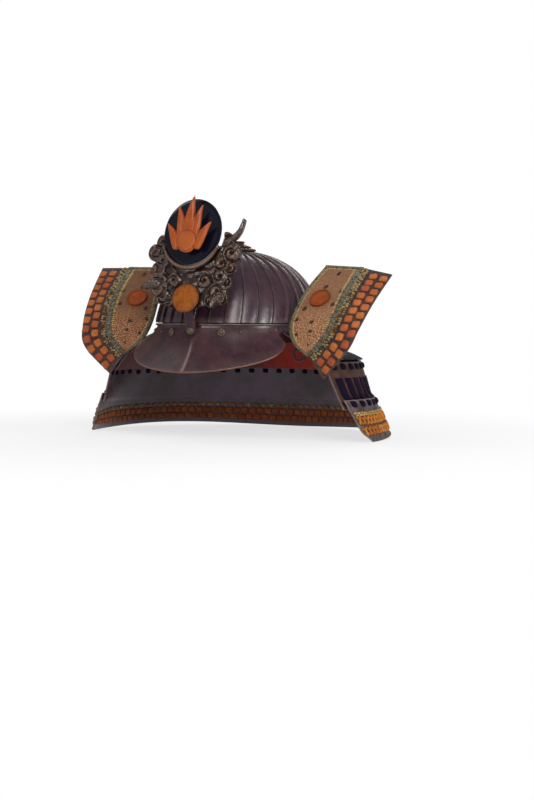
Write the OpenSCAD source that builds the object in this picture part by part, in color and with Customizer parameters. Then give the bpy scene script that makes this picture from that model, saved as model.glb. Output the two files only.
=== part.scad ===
// Japanese ribbed-plate helmet with a visor, a four-lame laced neck guard,
// turned-back wings and a crest that lifts off its holder.
// Millimetres. +Z is up, -Y is the front, +X is the wearer's left.
// The origin is on the centre line, level with the lower edge of the base band.

/* [Bowl] */
// Half of the bowl's width at its rim, over the plates
bowl_half_w = 108; // [90:1:120]
// Half of the bowl's depth at its rim, over the plates
bowl_half_d = 124; // [105:1:135]
// Height of the dome over its rim
dome_h = 100; // [85:1:120]
// Fullness of the dome's outline (2 is an ellipse)
dome_fullness = 2.17; // [1.9:0.01:2.5]
// How far the dome leans to the back at mid height
back_swell = 10; // [0:1:16]
// Number of plates
plate_count = 32; // [16:2:36]
// Thickness of a plate
plate_t = 2; // [1.2:0.1:3]
// Height of the rib turned up along each plate
rib_h = 3; // [1.5:0.1:4]
// Thickness of a rib
rib_t = 1.4; // [0.8:0.1:2]
// How far up the dome the plates reach (the crown hole is what is left)
plate_reach = 0.9; // [0.8:0.01:0.94]

/* [Base band] */
// Height of the band under the plates
band_h = 26; // [18:1:34]
// Thickness of the band
band_t = 2.2; // [1.5:0.1:3]
// Height of the rim moulding that covers the joint of plates and band
rim_h = 3; // [2:0.1:5]
// How far the rim moulding stands out
rim_out = 2.2; // [1:0.1:3]

/* [Crown fitting] */
// Radius of the lowest tier
seat_r = 27; // [22:0.5:32]
// Thickness of the lowest tier
seat_h = 4; // [2.5:0.5:6]
// Radius of the petalled tier
flower_r = 20; // [15:0.5:24]
// Thickness of the petalled tier
flower_h = 4; // [2.5:0.5:6]
// Number of petals
petal_count = 12; // [8:1:18]
// Outer radius of the top ring
ring_r = 13; // [9:0.5:15]
// Height of the top ring
ring_h = 6; // [3:0.5:9]
// Radius of the hole through the crown fitting
crown_bore_r = 8; // [5:0.5:8.5]

/* [Visor] */
// Angle from the centre line to each end of the visor
visor_end = 59; // [50:1:62]
// Height of the visor's top edge on the band
visor_top_z = 20; // [14:1:22]
// How far the visor stands out from the band at the front
visor_out = 34; // [20:1:45]
// Height of the visor's rim at the front
visor_rim_z = -39; // [-50:1:-25]
// Thickness of the visor
visor_t = 1.8; // [1.2:0.1:2.5]
// Height of the ridge down the middle of the visor
visor_ridge = 1.5; // [0.5:0.1:3]
// Width of the edging along the visor's rim, as a share of its depth
edging_share = 0.03; // [0.02:0.005:0.06]
// Radius of a rosette on the visor's upper edge
rosette_r = 5.5; // [3:0.5:7]
// Radius of a plain stud on the visor's upper edge
stud_r = 2; // [1:0.25:3]

/* [Neck guard] */
// Height of the top lame's upper edge on the base band
guard_top_z = 14; // [10:1:18]
// Drop of each lame, top to bottom edge
lame_drop = [30, 32, 63, 56]; // [20:1:80]
// How far each lame flares out at the sides
lame_flare = [43, 27, 19, 24]; // [8:1:60]
// How far each lame flares out at the back
lame_back_flare = [14, 11, 12, 14]; // [6:1:60]
// How far each lame's upper edge rises over the lower edge of the one above
lame_lap = [0, 7, 16, 13]; // [0:1:20]
// How far each lame's upper edge stands off the one above
lame_step = [0, 8, 14.5, 5]; // [0:0.5:20]
// Angle from the centre line to each lame's front end, at its upper edge
end_top = [64, 64.5, 66, 72]; // [55:0.5:85]
// Angle from the centre line to each lame's front end, at its lower edge
end_low = [62.5, 66, 72, 78]; // [55:0.5:90]
// Thickness of a lame
lame_t = 2.2; // [1.5:0.1:3]
// Crown of the top lame between its edges
top_lame_crown = 4; // [0:0.5:6]
// How far the lowest edge rises at the sides
guard_arch = 5; // [0:0.5:10]

/* [Lacing] */
// Number of lacing bands round the neck guard
band_count = 32; // [24:1:60]
// Thickness of the lacing
lace_t = 1.4; // [0.8:0.1:2]
// Number of cross knots in each outer row on the lowest lame
cross_count = 72; // [40:1:80]
// Number of lacing blocks in each inner row on the lowest lame
block_count = 62; // [40:1:70]
// Height of a lacing block
block_h = 2; // [1:0.1:3]

/* [Wings] */
// Thickness of a wing plate
wing_t = 2; // [1.5:0.1:3]
// Thickness of the printed leather on a wing
leather_t = 1; // [0.6:0.1:1.5]
// Radius of the round badge on each wing
badge_r = 15; // [10:0.5:18]
// Thickness of the round badge
badge_t = 3; // [1.5:0.5:4]
// Number of lacing blocks in each of a wing's two rows
wing_block_count = 12; // [8:1:15]
// How much higher the outer corner of the wearer's right wing stands
right_corner_rise = 14; // [0:1:20]

/* [Crest] */
// How far the crest leans back, in degrees
crest_lean = 13; // [5:1:20]
// How far the gold disc stands in front of the base band
crest_gap = 24; // [18:1:35]
// Height of the gold disc's centre
crest_z = 59; // [52:1:70]
// Radius of the gold disc
gold_r = 20; // [14:0.5:24]
// Thickness of the gold disc
gold_t = 3; // [2:0.5:5]
// Half of the dark disc's width
dark_half_w = 43; // [34:1:50]
// Half of the dark disc's height
dark_half_h = 46; // [38:1:54]
// Height of the dark disc's centre over the gold disc's
dark_rise = 90; // [80:1:100]
// Thickness of the dark disc
dark_t = 4; // [2.5:0.5:6]
// Thickness of the cloud-scroll mount
mount_t = 5; // [3:0.5:7]
// How far the mount sweeps back on each side, in degrees
mount_sweep = 9.5; // [0:0.5:15]
// Thickness of the flame ornament
flame_t = 5; // [3:0.5:7]
// How far the ornament stands off the dark disc
flame_gap = 9; // [3:0.5:12]
// Width of the tang that goes into the holder
tang_w = 12; // [8:0.5:16]
// Thickness of the tang
tang_t = 2.4; // [1.6:0.1:3]
// Depth of the tang in the holder
tang_depth = 28; // [15:1:30]
// Clearance round the tang
tang_gap = 0.3; // [0.2:0.05:0.5]

/* [Rings] */
// Radius of a chin-cord ring, to the middle of its wire
chin_ring_r = 8.5; // [6:0.5:12]
// Radius of the back ring, to the middle of its wire
back_ring_r = 13; // [9:0.5:16]
// Radius of a ring's wire
ring_wire_r = 1.2; // [0.8:0.1:1.6]
// Radius of a staple's wire
staple_wire_r = 1; // [0.7:0.1:1.4]

/* [Lining] */
// Gap between the plates and the lining
lining_gap = 5; // [3:0.5:8]
// Thickness of the lining
lining_t = 1.6; // [1:0.1:3]

/* [Hidden] */

skin = 0.05;
step = 0.002;

lacquer = [0.24, 0.17, 0.19];
red_lacquer = [0.62, 0.2, 0.12];
gilt = [0.8, 0.55, 0.22];
bronze = [0.33, 0.28, 0.25];
orange_lace = [0.84, 0.46, 0.16];
blue_lace = [0.16, 0.15, 0.3];
leather = [0.78, 0.62, 0.5];
iron = [0.2, 0.18, 0.19];

function unit(v) = v / norm(v);
function mix(a, b, k) = a + (b - a) * k;
function span(a, b, n) = [for (i = [0:n]) mix(a, b, i / n)];

// A smooth curve through the points of a list, with k from 0 to 1
function pick(list, i) = list[max(0, min(len(list) - 1, i))];
function along(list, k) =
    let (n = len(list) - 1, i = min(n - 1, floor(k * n)), t = k * n - i,
         a = pick(list, i - 1), b = pick(list, i), c = pick(list, i + 1), d = pick(list, i + 2))
    0.5 * (2 * b + (c - a) * t + (2 * a - 5 * b + 4 * c - d) * t * t
           + (3 * b - a - 3 * c + d) * t * t * t);

// A surface is a function of (u, v); its normal comes from its own slopes
function normal(s, u, v) =
    unit(cross(s(u + step, v) - s(u - step, v), s(u, v + step) - s(u, v - step)));
function above(s, u, v, d) = s(u, v) + normal(s, u, v) * d;

// A closed sheet over a grid of (u, v), from offset d0 to offset d1
// A wrapped sheet joins its last column to its first
function quad(a, b, c, d) = [[a, c, b], [a, d, c]];

module sheet(s, us, vs, d0, d1, wrapped = false) {
    m = len(us);
    n = len(vs);
    size = m * n;
    last = wrapped ? m - 1 : m - 2;
    low = [for (u = us) for (v = vs) above(s, u, v, d0)];
    high = [for (u = us) for (v = vs) above(s, u, v, d1)];
    cells = [for (i = [0:last]) for (j = [0:n - 2]) let (a = i * n + j, b = (a + n) % size)
        each concat(quad(a, a + 1, b + 1, b), quad(size + a, size + b, size + b + 1, size + a + 1))];
    ends = wrapped ? [] : [for (j = [0:n - 2]) let (a = j, b = (m - 1) * n + j)
        each concat(quad(a, size + a, size + a + 1, a + 1), quad(b, b + 1, size + b + 1, size + b))];
    sides = [for (i = [0:last]) let (a = i * n, b = (a + n) % size, c = a + n - 1, d = b + n - 1)
        each concat(quad(a, b, size + b, size + a), quad(c, size + c, size + d, d))];
    polyhedron(concat(low, high), concat(cells, ends, sides));
}

// A raised pad on a surface, with its top drawn in
module pad(s, u, v, du, dv, d0, d1, taper) {
    corner = [[-1, -1], [1, -1], [1, 1], [-1, 1]];
    low = [for (c = corner) above(s, u + c.x * du, v + c.y * dv, d0)];
    high = [for (c = corner) above(s, u + c.x * du * taper, v + c.y * dv * taper, d1)];
    walls = [for (i = [0:3]) let (j = (i + 1) % 4) each quad(i, j, j + 4, i + 4)];
    polyhedron(concat(low, high), concat(quad(0, 3, 2, 1), quad(4, 5, 6, 7), walls));
}

// The bowl

function oval(half_w, half_d, f, z) = [half_w * sin(f), -half_d * cos(f), z];
dome = function (f, k)
    let (c = pow(cos(90 * k), 2 / dome_fullness), h = pow(sin(90 * max(k, 0)), 2 / dome_fullness))
    oval(bowl_half_w * c, bowl_half_d * c, f, band_h + dome_h * h) + [0, 4 * back_swell * h * (1 - h), 0];
plate_step = 360 / plate_count;
dome_rows = span(0.004, plate_reach, 7);

// One plate: an L section of thin plate and upright rib, carried up the dome
module plate(f) {
    gap = 0.1;
    last = f + plate_step;
    section = function (k) let (turn = 57.3 / (bowl_half_w * pow(cos(90 * k), 2 / dome_fullness)),
                                a = f + gap * turn, b = last - gap * turn, c = b - rib_t * turn)
        [[a, -plate_t], [b, -plate_t], [b, rib_h], [c, rib_h], [c, 0], [a, 0]];
    points = [for (k = dome_rows) for (p = section(k)) above(dome, p.x, k, p.y)];
    n = 6;
    rows = len(dome_rows);
    walls = [for (r = [0:rows - 2]) for (i = [0:n - 1])
        let (a = r * n + i, b = r * n + (i + 1) % n)
        each quad(a, a + n, b + n, b)];
    foot = [[0, 5, 4], [0, 4, 1], [1, 4, 3], [1, 3, 2]];
    head = [for (t = foot) [for (i = [2, 1, 0]) t[i] + (rows - 1) * n]];
    polyhedron(points, concat(walls, foot, head));
}

module bowl_plates() {
    color(lacquer)
    for (i = [0:plate_count - 1])
        plate(i * plate_step);
}

// The base band, and the moulding that covers its joint with the plates
module hoop(z0, z1, d0, d1, sides = 64) {
    ring = [for (i = [0:sides - 1]) 360 * i / sides];
    difference() {
        translate([0, 0, z0])
            linear_extrude(z1 - z0)
                polygon([for (f = ring) [(bowl_half_w + d1) * sin(f), -(bowl_half_d + d1) * cos(f)]]);
        translate([0, 0, z0 - 1])
            linear_extrude(z1 - z0 + 2)
                polygon([for (f = ring) [(bowl_half_w + d0) * sin(f), -(bowl_half_d + d0) * cos(f)]]);
    }
}

module base_band() {
    color(lacquer)
    hoop(0, band_h, -band_t, 0);
}

module bowl_rim() {
    color(gilt)
    hoop(band_h - rim_h, band_h - skin, skin, rim_out);
}

// The crown fitting, stacked on the plates' upper ends
crown_y = dome(0, plate_reach).y / 2 + dome(180, plate_reach).y / 2;
crown_z = above(dome, 0, plate_reach, rib_h).z + skin;

module crown_tier(radius, height, z) {
    translate([0, crown_y, z])
        difference() {
            cylinder(h = height, r = radius, $fn = 48);
            translate([0, 0, -1])
                cylinder(h = height + 2, r = crown_bore_r, $fn = 48);
        }
}

module crown_seat() {
    color(gilt)
    crown_tier(seat_r, seat_h, crown_z);
}

module crown_flower() {
    color(gilt)
    translate([0, crown_y, crown_z + seat_h])
        difference() {
            union() {
                cylinder(h = flower_h, r = flower_r * 0.86, $fn = 48);
                for (i = [0:petal_count - 1])
                    rotate([0, 0, 360 * i / petal_count])
                        translate([flower_r * 0.8, 0, 0])
                            cylinder(h = flower_h * 0.7, r = flower_r * 0.22, $fn = 24);
            }
            translate([0, 0, -1])
                cylinder(h = flower_h + 2, r = crown_bore_r, $fn = 48);
        }
}

module crown_ring() {
    color(gilt)
    crown_tier(ring_r, ring_h, crown_z + seat_h + flower_h);
}

// The visor

visor_gap = visor_t + skin;
visor_corner = 1.4;
visor = function (f, v)
    let (u = min(1, abs(f) / (visor_end + visor_corner)),
         out = visor_out * pow(1 - pow(u, 8), 0.3) * pow(max(v, 0), 1.8),
         drop = (visor_top_z - visor_rim_z) * pow(1 - pow(u, 1.6), 0.35),
         ridge = visor_ridge * max(0, 1 - abs(f) / 3) * min(1, 4 * v))
    oval(bowl_half_w + visor_gap + out, bowl_half_d + visor_gap + out + ridge, -f, visor_top_z - drop * v);
visor_columns = [for (k = [-16:16]) visor_end * (k == 0 ? 0 : sign(k) * pow(abs(k) / 16, 0.8))];
edging_start = 1 - edging_share;

// Where the round heads sit, down from the visor's upper edge and off its face
head_v = 0.11;
head_d = 0.55;

module visor() {
    color(lacquer)
    sheet(visor, visor_columns, [0, head_v, 0.24, 0.42, 0.6, 0.8, edging_start], -visor_t, 0);
}

module visor_edging() {
    color(gilt)
    sheet(visor, visor_columns, [edging_start + 0.002, 1], -visor_t - 0.6, 0.8);
}

// Turns a shape that stands on the XY plane to stand on a surface
module on(s, u, v, d) {
    axis = normal(s, u, v);
    translate(above(s, u, v, d))
        rotate([0, acos(axis.z), atan2(axis.y, axis.x)])
            children();
}

// Round heads along the visor's upper edge
module visor_rosettes() {
    color(gilt)
    for (f = [-20, 20])
        on(visor, f, head_v, head_d) {
            cylinder(h = 1.5, r = rosette_r, $fn = 32);
            cylinder(h = 3, r = rosette_r * 0.55, $fn = 32);
        }
}

module visor_studs() {
    color(gilt)
    for (f = [-54, -33, 33, 54])
        on(visor, f, head_v, head_d)
            cylinder(h = 1.6, r = stud_r, $fn = 24);
}

// The neck guard

function lame_top(i) = i == 0
    ? [bowl_half_w + lame_t + skin, bowl_half_d + lame_t + skin, guard_top_z]
    : let (a = lame_top(i - 1), b = lame_low(i - 1), k = 1 - lame_lap[i] / lame_drop[i - 1])
      mix(a, b, k) + [lame_step[i], lame_step[i], 0];
function lame_low(i) = lame_top(i) + [lame_flare[i], lame_back_flare[i], -lame_drop[i]];
function lame_end(i, v) = mix(end_top[i], end_low[i], v);

// Lame i: u runs from -1 (right front end) round the back to 1 (left front end), v from top to bottom
function lame_point(i, u, v) =
    let (r = mix(lame_top(i), lame_low(i), v), f = 180 - u * (180 - lame_end(i, v)),
         swell = i == 0 ? top_lame_crown * sin(180 * max(0, min(1, v))) : 0,
         arch = i == 3 ? guard_arch * max(0, v) * pow(sin(180 * u), 2) : 0)
    oval(r.x + swell * 0.6, r.y + swell * 0.6, f, r.z + swell + arch);
lame = [function (u, v) lame_point(0, u, v), function (u, v) lame_point(1, u, v),
        function (u, v) lame_point(2, u, v), function (u, v) lame_point(3, u, v)];
lame_columns = span(-1, 1, 44);

module lame(i, rows) {
    sheet(lame[i], lame_columns, span(0, 1, rows), -lame_t, 0);
}

module neck_lame_1() {
    color(red_lacquer)
    lame(0, 5);
}

module neck_lame_2() {
    color(red_lacquer)
    lame(1, 3);
}

module neck_lame_3() {
    color(lacquer)
    lame(2, 3);
}

module neck_lame_4() {
    color(lacquer)
    lame(3, 3);
}

module neck_rivets() {
    color(iron)
    for (u = span(-0.94, 0.94, 16))
        pad(lame[0], u, 0.09, 0.012, 0.045, skin, 1.6, 0.6);
}

// Bands of lacing: u of band i out of the whole row
lace_reach = 0.985;
function band_u(i, count) = lace_reach * mix(-1, 1, (i + 0.5) / count);
band_half = 0.7 / band_count;
function band_columns(k) = span(band_u(k, band_count) - band_half, band_u(k, band_count) + band_half, 2);

// Lacing that leads from one lame's face out to the next lame's upper edge
function bridge(i, u, v, v0) = mix(above(lame[i], u, v0, lace_t), above(lame[i + 1], u, -0.01, lace_t), v);

module bridge_row(i, v0) {
    run = function (u, v) bridge(i, u, v, v0);
    for (k = [0:band_count - 1])
        sheet(run, band_columns(k), [0, 0.5, 1], -lace_t / 2, lace_t / 2);
}

module lacing_1_2() {
    color(blue_lace)
    bridge_row(0, 0.5);
}

module lacing_2_3() {
    color(blue_lace)
    bridge_row(1, 0.18);
}

// The bands on the third lame run down its face and then out to the lowest lame's upper edge
lace_start = 0.34;
lace_leave = 0.72;
lace_gap = 0.15;
lace_stop = 1 - lame_lap[3] / lame_drop[2];
face_band = function (u, v)
    v < lace_leave ? above(lame[2], u, v, lace_t / 2)
    : mix(above(lame[2], u, lace_leave, lace_t / 2), above(lame[3], u, -0.011, -lame_t / 2),
          (v - lace_leave) / (lace_stop - lace_leave));

module lacing_3_4() {
    color(blue_lace)
    for (k = [0:band_count - 1])
        sheet(face_band, band_columns(k), [lace_start, (lace_start + lace_leave) / 2, lace_leave, lace_stop],
              lace_gap - lace_t / 2, lace_gap + lace_t / 2);
}

// Knuckles of lace on the face of a lame, just under its upper edge
module knuckles(i, v) {
    for (k = [0:band_count - 1])
        pad(lame[i], band_u(k, band_count), v, band_half * 0.75, 4 / lame_drop[i], lace_gap, 2.2, 0.6);
}

module lame_3_knuckles() {
    color(blue_lace)
    knuckles(2, 0.1);
}

module lame_4_knuckles() {
    color(blue_lace)
    knuckles(3, 0.1);
}

module cross_lacing() {
    color(orange_lace)
    for (row = [0, 1])
        for (k = [0:cross_count - 1])
            pad(lame[3], band_u(k, cross_count), 0.48 + 0.26 * row, 0.9 / cross_count, 0.12, skin, block_h, 0.7);
}

// The blocks stand clear of the flat facets inside the lame
facet_gap = 0.5;

module inner_blocks() {
    color(orange_lace)
    for (row = [0, 1, 2])
        for (k = [0:block_count - 1 - row % 2])
            pad(lame[3], -band_u(k + (row % 2) / 2, block_count), 0.42 + 0.185 * row,
                -0.8 / block_count, 0.075, -lame_t - facet_gap, -lame_t - facet_gap - block_h, 0.7);
}

module lame_4_edging() {
    color(iron)
    sheet(lame[3], lame_columns, [0.93, 1], skin, 1.2);
}

// The wings, drawn for the wearer's left side from the top lame's front corner.
// Each rail runs from the bottom of the wing to its top. The right wing's outer
// rail rises towards its top, leaning outwards, and its seam follows in part.
wing_root = lame_point(0, 1, 1);
inner_points = [[2, -4, 1], [-19, 1, 18], [-28, 13, 43], [-22, 45, 84], [-7, 87, 123]];
seam_points = [[9, -5, -3], [35, -5, 25], [44, 11, 55], [48, 37, 85], [51, 83, 119]];
outer_points = [[30, -7, -31], [67, -15, 7], [78, -2, 36], [86, 31, 72], [93, 80, 110]];
rise_lean = 0.3;
seam_share = 0.35;
function corner_rise(side) = side < 0 ? right_corner_rise : 0;
function rail(points, rise) =
    [for (i = [0:len(points) - 1])
        wing_root + points[i] + [rise_lean, 0, 1] * rise * pow(i / (len(points) - 1), 2)];
function upper_wing(side) =
    let (inner = rail(inner_points, 0), seam = rail(seam_points, corner_rise(side) * seam_share))
    function (u, v) mix(along(inner, v), along(seam, v), u);
function lower_wing(side) =
    let (seam = rail(seam_points, corner_rise(side) * seam_share), outer = rail(outer_points, corner_rise(side)))
    function (u, v) mix(along(seam, v), along(outer, v), u);
leather_rows = span(0.03, 0.97, 10);
leather_columns = span(0.06, 0.86, 3);
wing_rows = concat([0], leather_rows, [1]);
seam_gap = 0.04;

module wing_plate(side) {
    color(lacquer)
    mirror([side < 0 ? 1 : 0, 0, 0])
        sheet(upper_wing(side), concat([0], leather_columns, [1 - seam_gap]), wing_rows, -wing_t, 0);
}

module wing_leather(side) {
    color(leather)
    mirror([side < 0 ? 1 : 0, 0, 0])
        sheet(upper_wing(side), leather_columns, leather_rows, skin, leather_t);
}

module wing_piping(side) {
    color([0.55, 0.55, 0.42])
    mirror([side < 0 ? 1 : 0, 0, 0])
        sheet(upper_wing(side), [0.88, 1.0], wing_rows, skin, leather_t + 1.6);
}

module laced_wing(side) {
    color(lacquer)
    mirror([side < 0 ? 1 : 0, 0, 0])
        sheet(lower_wing(side), span(0.01, 1, 3), wing_rows, -wing_t, 0);
}

module wing_blocks(side) {
    color(orange_lace)
    mirror([side < 0 ? 1 : 0, 0, 0])
        for (row = [0, 1])
            for (k = [0:wing_block_count - 1])
                pad(lower_wing(side), 0.36 + 0.36 * row, mix(0.05, 0.96, (k + row / 2) / wing_block_count),
                    0.14, 0.34 / wing_block_count, 0.2, block_h + 0.5, 0.7);
}

badge_u = 0.45;
badge_v = 0.69;

module wing_badge(side) {
    color(red_lacquer)
    mirror([side < 0 ? 1 : 0, 0, 0])
        on(upper_wing(side), badge_u, badge_v, leather_t + 0.8)
            difference() {
                cylinder(h = badge_t, r = badge_r, $fn = 48);
                translate([0, 0, badge_t - 0.8])
                    cylinder(h = badge_t, r = badge_r - 1.6, $fn = 48);
            }
}

// Rings that hang in staples. A staple's eye takes the ring's wire with play.
eye_r = ring_wire_r + staple_wire_r + 0.5;
stem = 6;
chin_seat = above(lame[0], 0.96, 0.45, -lame_t) - [0, 0, 1.3 * staple_wire_r];
chin_pivot = chin_seat - [0, 0, stem + eye_r];

module eye() {
    rotate([0, 90, 0])
        rotate_extrude($fn = 32)
            translate([eye_r, 0])
                circle(r = staple_wire_r, $fn = 16);
}

module hanging_ring(r) {
    color(iron)
    translate([0, 0, -r])
        rotate([90, 0, 0])
            rotate_extrude($fn = 64)
                translate([r, 0])
                    circle(r = ring_wire_r, $fn = 16);
}

module chin_staple(side) {
    color(iron)
    mirror([side < 0 ? 1 : 0, 0, 0])
        translate(chin_pivot) {
            eye();
            translate([0, 0, eye_r])
                cylinder(h = stem, r = staple_wire_r, $fn = 16);
        }
}

module chin_ring(side) {
    mirror([side < 0 ? 1 : 0, 0, 0])
        translate(chin_pivot)
            hanging_ring(chin_ring_r);
}

// The back ring hangs from a rosette on the rib down the middle of the back
back_k = dome_rows[2];
boss_r = 7;
boss_h = 2;
boss_stem = 3.5;
back_pivot = above(dome, 180, back_k, rib_h + boss_h + boss_stem + eye_r);

module back_ring_staple() {
    color(gilt) {
        translate(back_pivot)
            eye();
        on(dome, 180, back_k, rib_h + skin) {
            cylinder(h = boss_h, r = boss_r, $fn = 32);
            cylinder(h = boss_h + boss_stem, r = staple_wire_r, $fn = 16);
        }
    }
}

module back_ring() {
    translate(back_pivot)
        hanging_ring(back_ring_r);
}

// The crest's holder on the visor's upper edge, and the tang that slides in it
holder_lean = 16;
holder_wall = 2.4;
holder_foot = 8;
holder_top = holder_foot + 2 + tang_depth;
holder_y = -(bowl_half_d + 6);
holder_z = visor_top_z - 14;
lug_z = holder_z + 5;
lug_h = 4;
lug_back = visor(0, (visor_top_z - lug_z) / (visor_top_z - visor_rim_z)).y - 0.3;

module in_holder() {
    translate([0, holder_y, holder_z])
        rotate([holder_lean, 0, 0])
            children();
}

module bar(w, t, z0, z1) {
    translate([-w / 2, -t / 2, z0])
        cube([w, t, z1 - z0]);
}

module crest_holder() {
    color(lacquer) {
        in_holder()
            difference() {
                bar(tang_w + 2 * holder_wall, tang_t + 2 * holder_wall, holder_foot, holder_top);
                bar(tang_w + 2 * tang_gap, tang_t + 2 * tang_gap, holder_foot + 2 - tang_gap, holder_top + 1);
            }
        translate([-tang_w / 2, holder_y - 3, lug_z])
            cube([tang_w, lug_back - holder_y + 3, lug_h]);
    }
}

// The crest: its own frame has the gold disc's centre at the origin
module in_crest() {
    translate([0, -bowl_half_d - crest_gap, crest_z])
        rotate([-crest_lean, 0, 0])
            children();
}

// A flat shape drawn in the crest's face, from depth a to depth b behind that face
module facing(a, b) {
    translate([0, b, 0])
        rotate([90, 0, 0])
            linear_extrude(b - a)
                children();
}

// The tang stops at the back of the mount, whose halves sweep back from the middle
tang_face = mount_t / cos(mount_sweep) + tang_w / 2 * tan(mount_sweep) + skin;

module crest_tang() {
    color(bronze)
    difference() {
        in_holder()
            bar(tang_w, tang_t, holder_foot + 2, holder_top + 20);
        in_crest()
            translate([-tang_w, tang_face - 40, -60])
                cube([2 * tang_w, 40, 120]);
    }
}

// Scroll lobes on each side of the mount, by the wearer's left and right: across, up, radius
left_lobes = [[48, 82, 10], [57, 64, 13], [45, 49, 11], [56, 42, 9], [44, 31, 11], [53, 22, 9],
              [23, 25, 10], [43, 11, 13], [49, 2, 9], [35, -1, 10]];
right_lobes = [[50, 80, 10], [60, 66, 12], [46, 54, 11], [53, 41, 12], [43, 27, 11], [23, 26, 10],
               [46, 16, 13], [39, 4, 11], [27, -2, 8]];
lobe_rise = 3;

// A tongue that tapers to a point and bends to one side as it rises
module tongue(w, h, bend) {
    ks = span(0, 1, 8);
    spine = function (k) [bend * k * k, h * k];
    half = function (k) w / 2 * pow(1 - k, 0.7) * (0.75 + 0.5 * sin(180 * k));
    polygon(concat([for (k = ks) spine(k) + [half(k), 0]], [for (i = [7:-1:0]) spine(ks[i]) - [half(ks[i]), 0]]));
}

module ellipse(rx, ry) {
    polygon([for (i = [0:47]) [rx * cos(7.5 * i), ry * sin(7.5 * i)]]);
}

// A scroll's long tip, which thins from a to b and bows out to its right
module scroll_tip(a, b, bow, r) {
    side = [b.y - a.y, a.x - b.x] / norm(b - a);
    at = function (k) a + (b - a) * k + side * bow * sin(180 * k);
    for (k = [0:0.2:0.8])
        hull()
            for (end = [k, k + 0.2])
                translate(at(end))
                    circle(r = r * (1 - 0.6 * end), $fn = 16);
}

module mount_half(side) {
    lobes = side > 0 ? left_lobes : right_lobes;
    rotate([0, 0, side * mount_sweep])
        mirror([side < 0 ? 1 : 0, 0, 0]) {
            facing(0, mount_t) {
                for (l = lobes)
                    translate([l.x, l.y])
                        circle(r = l.z, $fn = 32);
                polygon([[0, -14], [30, -8], [46, 12], [52, 36], [44, 62], [34, 76], [0, 50]]);
                if (side > 0) {
                    scroll_tip([47, 78], [69, 109], 5.5, 5);
                    scroll_tip([46, 4], [36, -10], 3, 7);
                } else
                    scroll_tip([50, 22], [72, 20], -3, 9);
            }
            for (l = lobes)
                translate([l.x, 0, l.y])
                    rotate([90, 0, 0])
                        difference() {
                            cylinder(h = lobe_rise, r = l.z * 0.72, $fn = 32);
                            translate([0, 0, 1])
                                cylinder(h = lobe_rise, r = l.z * 0.36, $fn = 32);
                        }
        }
}

module cloud_mount() {
    color(bronze)
    in_crest()
        difference() {
            union() {
                mount_half(1);
                mount_half(-1);
            }
            facing(-20, -skin - 0.05)
                translate([0, dark_rise])
                    ellipse(dark_half_w + lip_w + 1, dark_half_h + lip_w + 1);
            facing(-20, 0)
                circle(r = gold_r + 1);
        }
}

lip_w = 6;

module disc_lip() {
    color(bronze)
    in_crest()
        facing(-dark_t - 2, -0.1)
            difference() {
                translate([0, dark_rise])
                    ellipse(dark_half_w + lip_w, dark_half_h + lip_w);
                translate([0, dark_rise])
                    ellipse(dark_half_w + skin, dark_half_h + skin);
                translate([-100, dark_rise - 0.4 * dark_half_h])
                    square([200, 200]);
            }
}

module dark_disc() {
    color([0.07, 0.07, 0.13])
    in_crest()
        facing(-dark_t, -0.1)
            translate([0, dark_rise])
                ellipse(dark_half_w, dark_half_h);
}

module gold_disc() {
    color(gilt)
    in_crest()
        facing(-gold_t, 0)
            circle(r = gold_r, $fn = 64);
}

// A round jewel with flames rising over it
flame_back = -dark_t - flame_gap;

module flame_ornament() {
    color([0.8, 0.35, 0.18])
    in_crest()
        facing(flame_back - flame_t, flame_back)
            translate([0, dark_rise - 16]) {
                circle(r = 15, $fn = 48);
                for (side = [0, 1])
                    mirror([side, 0]) {
                        translate([10, 6])
                            tongue(15, 44, 8);
                        translate([16, -6])
                            rotate(-14)
                                tongue(14, 36, 9);
                    }
                translate([0, 4])
                    tongue(18, 60, 4);
            }
}

module crest_pins() {
    color(bronze)
    in_crest()
        for (z = [dark_rise - 22, dark_rise + 12])
            translate([0, 0, z])
                rotate([90, 0, 0])
                    translate([0, 0, dark_t])
                        cylinder(h = flame_gap, r = 1.6, $fn = 24);
}

// The lining: a cloth cap on a leather band
lining = function (f, k) dome(f, max(k, 0)) + [0, 0, 100 * min(k, 0)];
lining_out = plate_t + lining_gap;

module lining_cap() {
    color([0.32, 0.27, 0.2])
    sheet(lining, [for (i = [0:31]) 11.25 * i], [-0.2, 0.03, 0.2, 0.4, 0.6, 0.8, 0.95],
          -lining_out - lining_t, -lining_out, wrapped = true);
}

module lining_band() {
    color([0.35, 0.22, 0.15])
    hoop(1.5, band_h * 0.6, -lining_out + 0.6, -band_t - skin);
}

bowl_plates();
bowl_rim();
base_band();
crown_seat();
crown_flower();
crown_ring();
visor();
visor_edging();
visor_rosettes();
visor_studs();
neck_lame_1();
neck_lame_2();
neck_rivets();
lacing_1_2();
lacing_2_3();
neck_lame_3();
lame_3_knuckles();
lacing_3_4();
neck_lame_4();
lame_4_knuckles();
cross_lacing();
inner_blocks();
lame_4_edging();
wing_plate(1);  // left_wing_plate
wing_leather(1);  // left_wing_leather
wing_piping(1);  // left_wing_piping
wing_badge(1);  // left_wing_badge
laced_wing(1);  // left_laced_wing
wing_blocks(1);  // left_wing_blocks
wing_plate(-1);  // right_wing_plate
wing_leather(-1);  // right_wing_leather
wing_piping(-1);  // right_wing_piping
wing_badge(-1);  // right_wing_badge
laced_wing(-1);  // right_laced_wing
wing_blocks(-1);  // right_wing_blocks
crest_holder();
lining_cap();
lining_band();
chin_staple(1);  // left_ring_staple
chin_ring(1);  // left_chin_ring
chin_staple(-1);  // right_ring_staple
chin_ring(-1);  // right_chin_ring
back_ring_staple();
back_ring();
crest_tang();
cloud_mount();
disc_lip();
dark_disc();
gold_disc();
flame_ornament();
crest_pins();
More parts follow.
